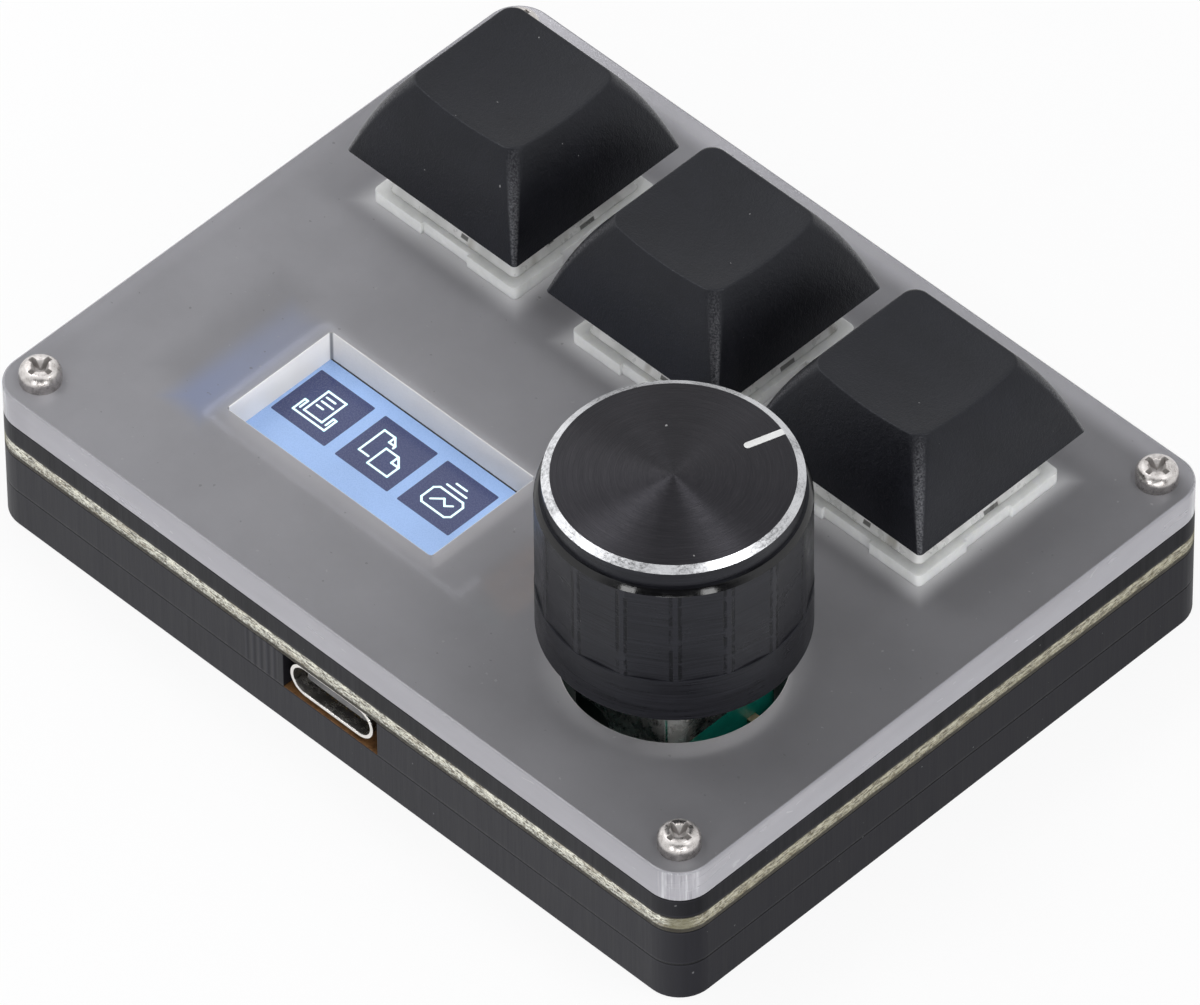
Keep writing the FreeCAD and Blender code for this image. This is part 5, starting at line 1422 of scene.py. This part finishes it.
        add_piece("knob_pointer_line", line, [white], "knob", angle=50.0)
        dress(["knob_insert"], moulded("insert_plastic", (0.035, 0.035, 0.035), 0.5))
        return {"FINISHED"}


# Socket
class KEYPAD_OT_socket(Operator):
    """USB-C socket: bright shell, dark tongue and its contact strips."""

    bl_idname = "keypad.socket"
    bl_label = "Socket"

    def execute(self, context):
        shell = sheet_metal("socket_steel", (0.76, 0.74, 0.71), 0.2, (1.0, 5.0, 1.0), 0.003, 0.1,
                            0.08)
        dress(["usb_shell"], shell)
        dress(["usb_tongue"], moulded("tongue_plastic", (0.07, 0.07, 0.072), 0.4, 5.0, 0.03, 0.6))
        dress(["usb_contacts"], sheet_metal("contact_gold", (0.86, 0.66, 0.30), 0.24))
        return {"FINISHED"}


# Stage

LAMP_AIM = (0.0, 0.0, 0.015)
# Place in metres, angles about X, Y and Z in degrees, and focal length in millimetres
CAMERA_PLACE = (-0.637255, 0.636546, 0.976979)
CAMERA_ANGLES = (42.845381, 0.411096, -135.421923)
CAMERA_LENS = 513.735


class KEYPAD_OT_stage(Operator):
    """Pale floor, soft lamps, even surroundings and the camera."""

    bl_idname = "keypad.stage"
    bl_label = "Stage"

    def execute(self, context):
        look = context.scene.keypad_stage
        scene = context.scene
        scene.view_settings.view_transform = "Standard"
        made = Finish("stage_floor", Roughness=0.75, Specular_IOR_Level=0.2)
        cloud = made.noise((0.02, 0.02, 0.02), 1.0, 3.0)
        made.set("Base Color", made.tones(cloud, 0.3, 0.7, look.floor_colour, 0.995, 1.0))
        made.set("Normal", made.bump(made.noise(made.place(), 0.8, 2.0), 0.002, 0.2))
        rays = made.node("ShaderNodeLightPath").outputs
        seen = made.larger(rays["Is Camera Ray"],
                           made.larger(rays["Is Glossy Ray"], rays["Is Transmission Ray"]))
        made.show(made.blend(made.times(seen, 0.88), made.shader, made.node("ShaderNodeEmission")))
        mesh = bpy.data.meshes.new("floor")
        shape = bmesh.new()
        bmesh.ops.create_grid(shape, x_segments=8, y_segments=8, size=2.0)
        shape.to_mesh(mesh)
        shape.free()
        mesh.materials.append(made.material)
        floor = bpy.data.objects.new("floor", mesh)
        scene.collection.objects.link(floor)

        world = bpy.data.worlds.new("surroundings")
        world.use_nodes = True
        scene.world = world
        sky = Nodes(world.node_tree)
        even = sky.tree.nodes["Background"]
        sky.feed(even.inputs["Color"], (0.97, 0.98, 1.0))
        sky.feed(even.inputs["Strength"], look.sky_strength)
        white = sky.node("ShaderNodeBackground")
        sky.feed(white.inputs["Color"], (1.0, 1.0, 1.0))
        rays = sky.node("ShaderNodeLightPath").outputs
        way = sky.node("ShaderNodeTexCoord").outputs["Generated"]
        ahead = sky.vectors("DOT_PRODUCT", way, (-0.683, 0.683, 0.259))
        room = sky.ramp(ahead, 0.55, 0.80, 1.0, 0.06)
        sky.feed(white.inputs["Strength"], sky.larger(rays["Is Camera Ray"], room))
        shown = sky.larger(rays["Is Camera Ray"],
                           sky.larger(rays["Is Glossy Ray"], rays["Is Transmission Ray"]))
        mixed = sky.blend(shown, even, white)
        sky.feed(sky.tree.nodes["World Output"].inputs["Surface"], mixed.outputs[0])

        for name, place, wide, tall, power in (
                ("key_lamp", (0.279, 0.142, 0.62), 0.20, 0.20, look.key_power),
                ("side_lamp", (0.17, 0.0, 0.13), 0.16, 0.16, look.side_power),
                ("right_lamp", (-0.293, -0.109, 0.62), 0.20, 0.20, look.key_power),
                ("front_left_lamp", (-0.162, 0.702, 0.207), 0.12, 0.40, look.fill_power),
                ("front_right_lamp", (-0.672, 0.258, 0.207), 0.12, 0.40, look.fill_power),
                ("low_lamp", (-0.525, 0.525, 0.104), 0.30, 0.12, look.low_power)):
            lamp = bpy.data.lights.new(name, "AREA")
            lamp.shape = "RECTANGLE"
            lamp.size, lamp.size_y = wide, tall
            lamp.energy = power
            made_lamp = bpy.data.objects.new(name, lamp)
            made_lamp.location = place
            towards = Vector(LAMP_AIM) - Vector(place)
            made_lamp.rotation_euler = towards.to_track_quat("-Z", "Y").to_euler()
            made_lamp.visible_camera = False
            scene.collection.objects.link(made_lamp)

        lens = bpy.data.cameras.new("camera")
        lens.sensor_fit = "HORIZONTAL"
        lens.sensor_width = 36.0
        lens.lens = CAMERA_LENS
        lens.clip_start, lens.clip_end = 0.1, 10.0
        camera = bpy.data.objects.new("camera", lens)
        camera.location = CAMERA_PLACE
        camera.rotation_euler = [math.radians(angle) for angle in CAMERA_ANGLES]
        scene.collection.objects.link(camera)
        scene.camera = camera
        return {"FINISHED"}


# Add-on
OPERATORS = (
    KEYPAD_OT_stage, KEYPAD_OT_frosted_plate, KEYPAD_OT_case_layers, KEYPAD_OT_circuit_board,
    KEYPAD_OT_screws, KEYPAD_OT_keycaps, KEYPAD_OT_switches, KEYPAD_OT_display,
    KEYPAD_OT_encoder, KEYPAD_OT_knob, KEYPAD_OT_socket,
)
SETTINGS = (
    ("keypad_case", KeypadCaseSettings), ("keypad_keys", KeypadKeySettings),
    ("keypad_knob", KeypadKnobSettings), ("keypad_screen", KeypadScreenSettings),
    ("keypad_stage", KeypadStageSettings),
)


class KEYPAD_PT_looks(Panel):
    """Lists the keypad's settings and the operators that make its pieces."""

    bl_idname = "KEYPAD_PT_looks"
    bl_label = "Macro keypad"
    bl_space_type = "VIEW_3D"
    bl_region_type = "UI"
    bl_category = "Keypad"

    def draw(self, context):
        for name, group in SETTINGS:
            box = self.layout.box()
            box.label(text=group.__doc__)
            for item in group.__annotations__:
                box.prop(getattr(context.scene, name), item)
        for operator in OPERATORS:
            self.layout.operator(operator.bl_idname)


def register():
    for name, group in SETTINGS:
        bpy.utils.register_class(group)
        setattr(bpy.types.Scene, name, PointerProperty(type=group))
    for operator in OPERATORS:
        bpy.utils.register_class(operator)
    bpy.utils.register_class(KEYPAD_PT_looks)


def unregister():
    bpy.utils.unregister_class(KEYPAD_PT_looks)
    for operator in reversed(OPERATORS):
        bpy.utils.unregister_class(operator)
    for name, group in reversed(SETTINGS):
        delattr(bpy.types.Scene, name)
        bpy.utils.unregister_class(group)


def main():
    register()
    for operator in OPERATORS:
        area, name = operator.bl_idname.split(".")
        getattr(getattr(bpy.ops, area), name)()
    bpy.context.view_layer.update()


if __name__ == "__main__":
    main()
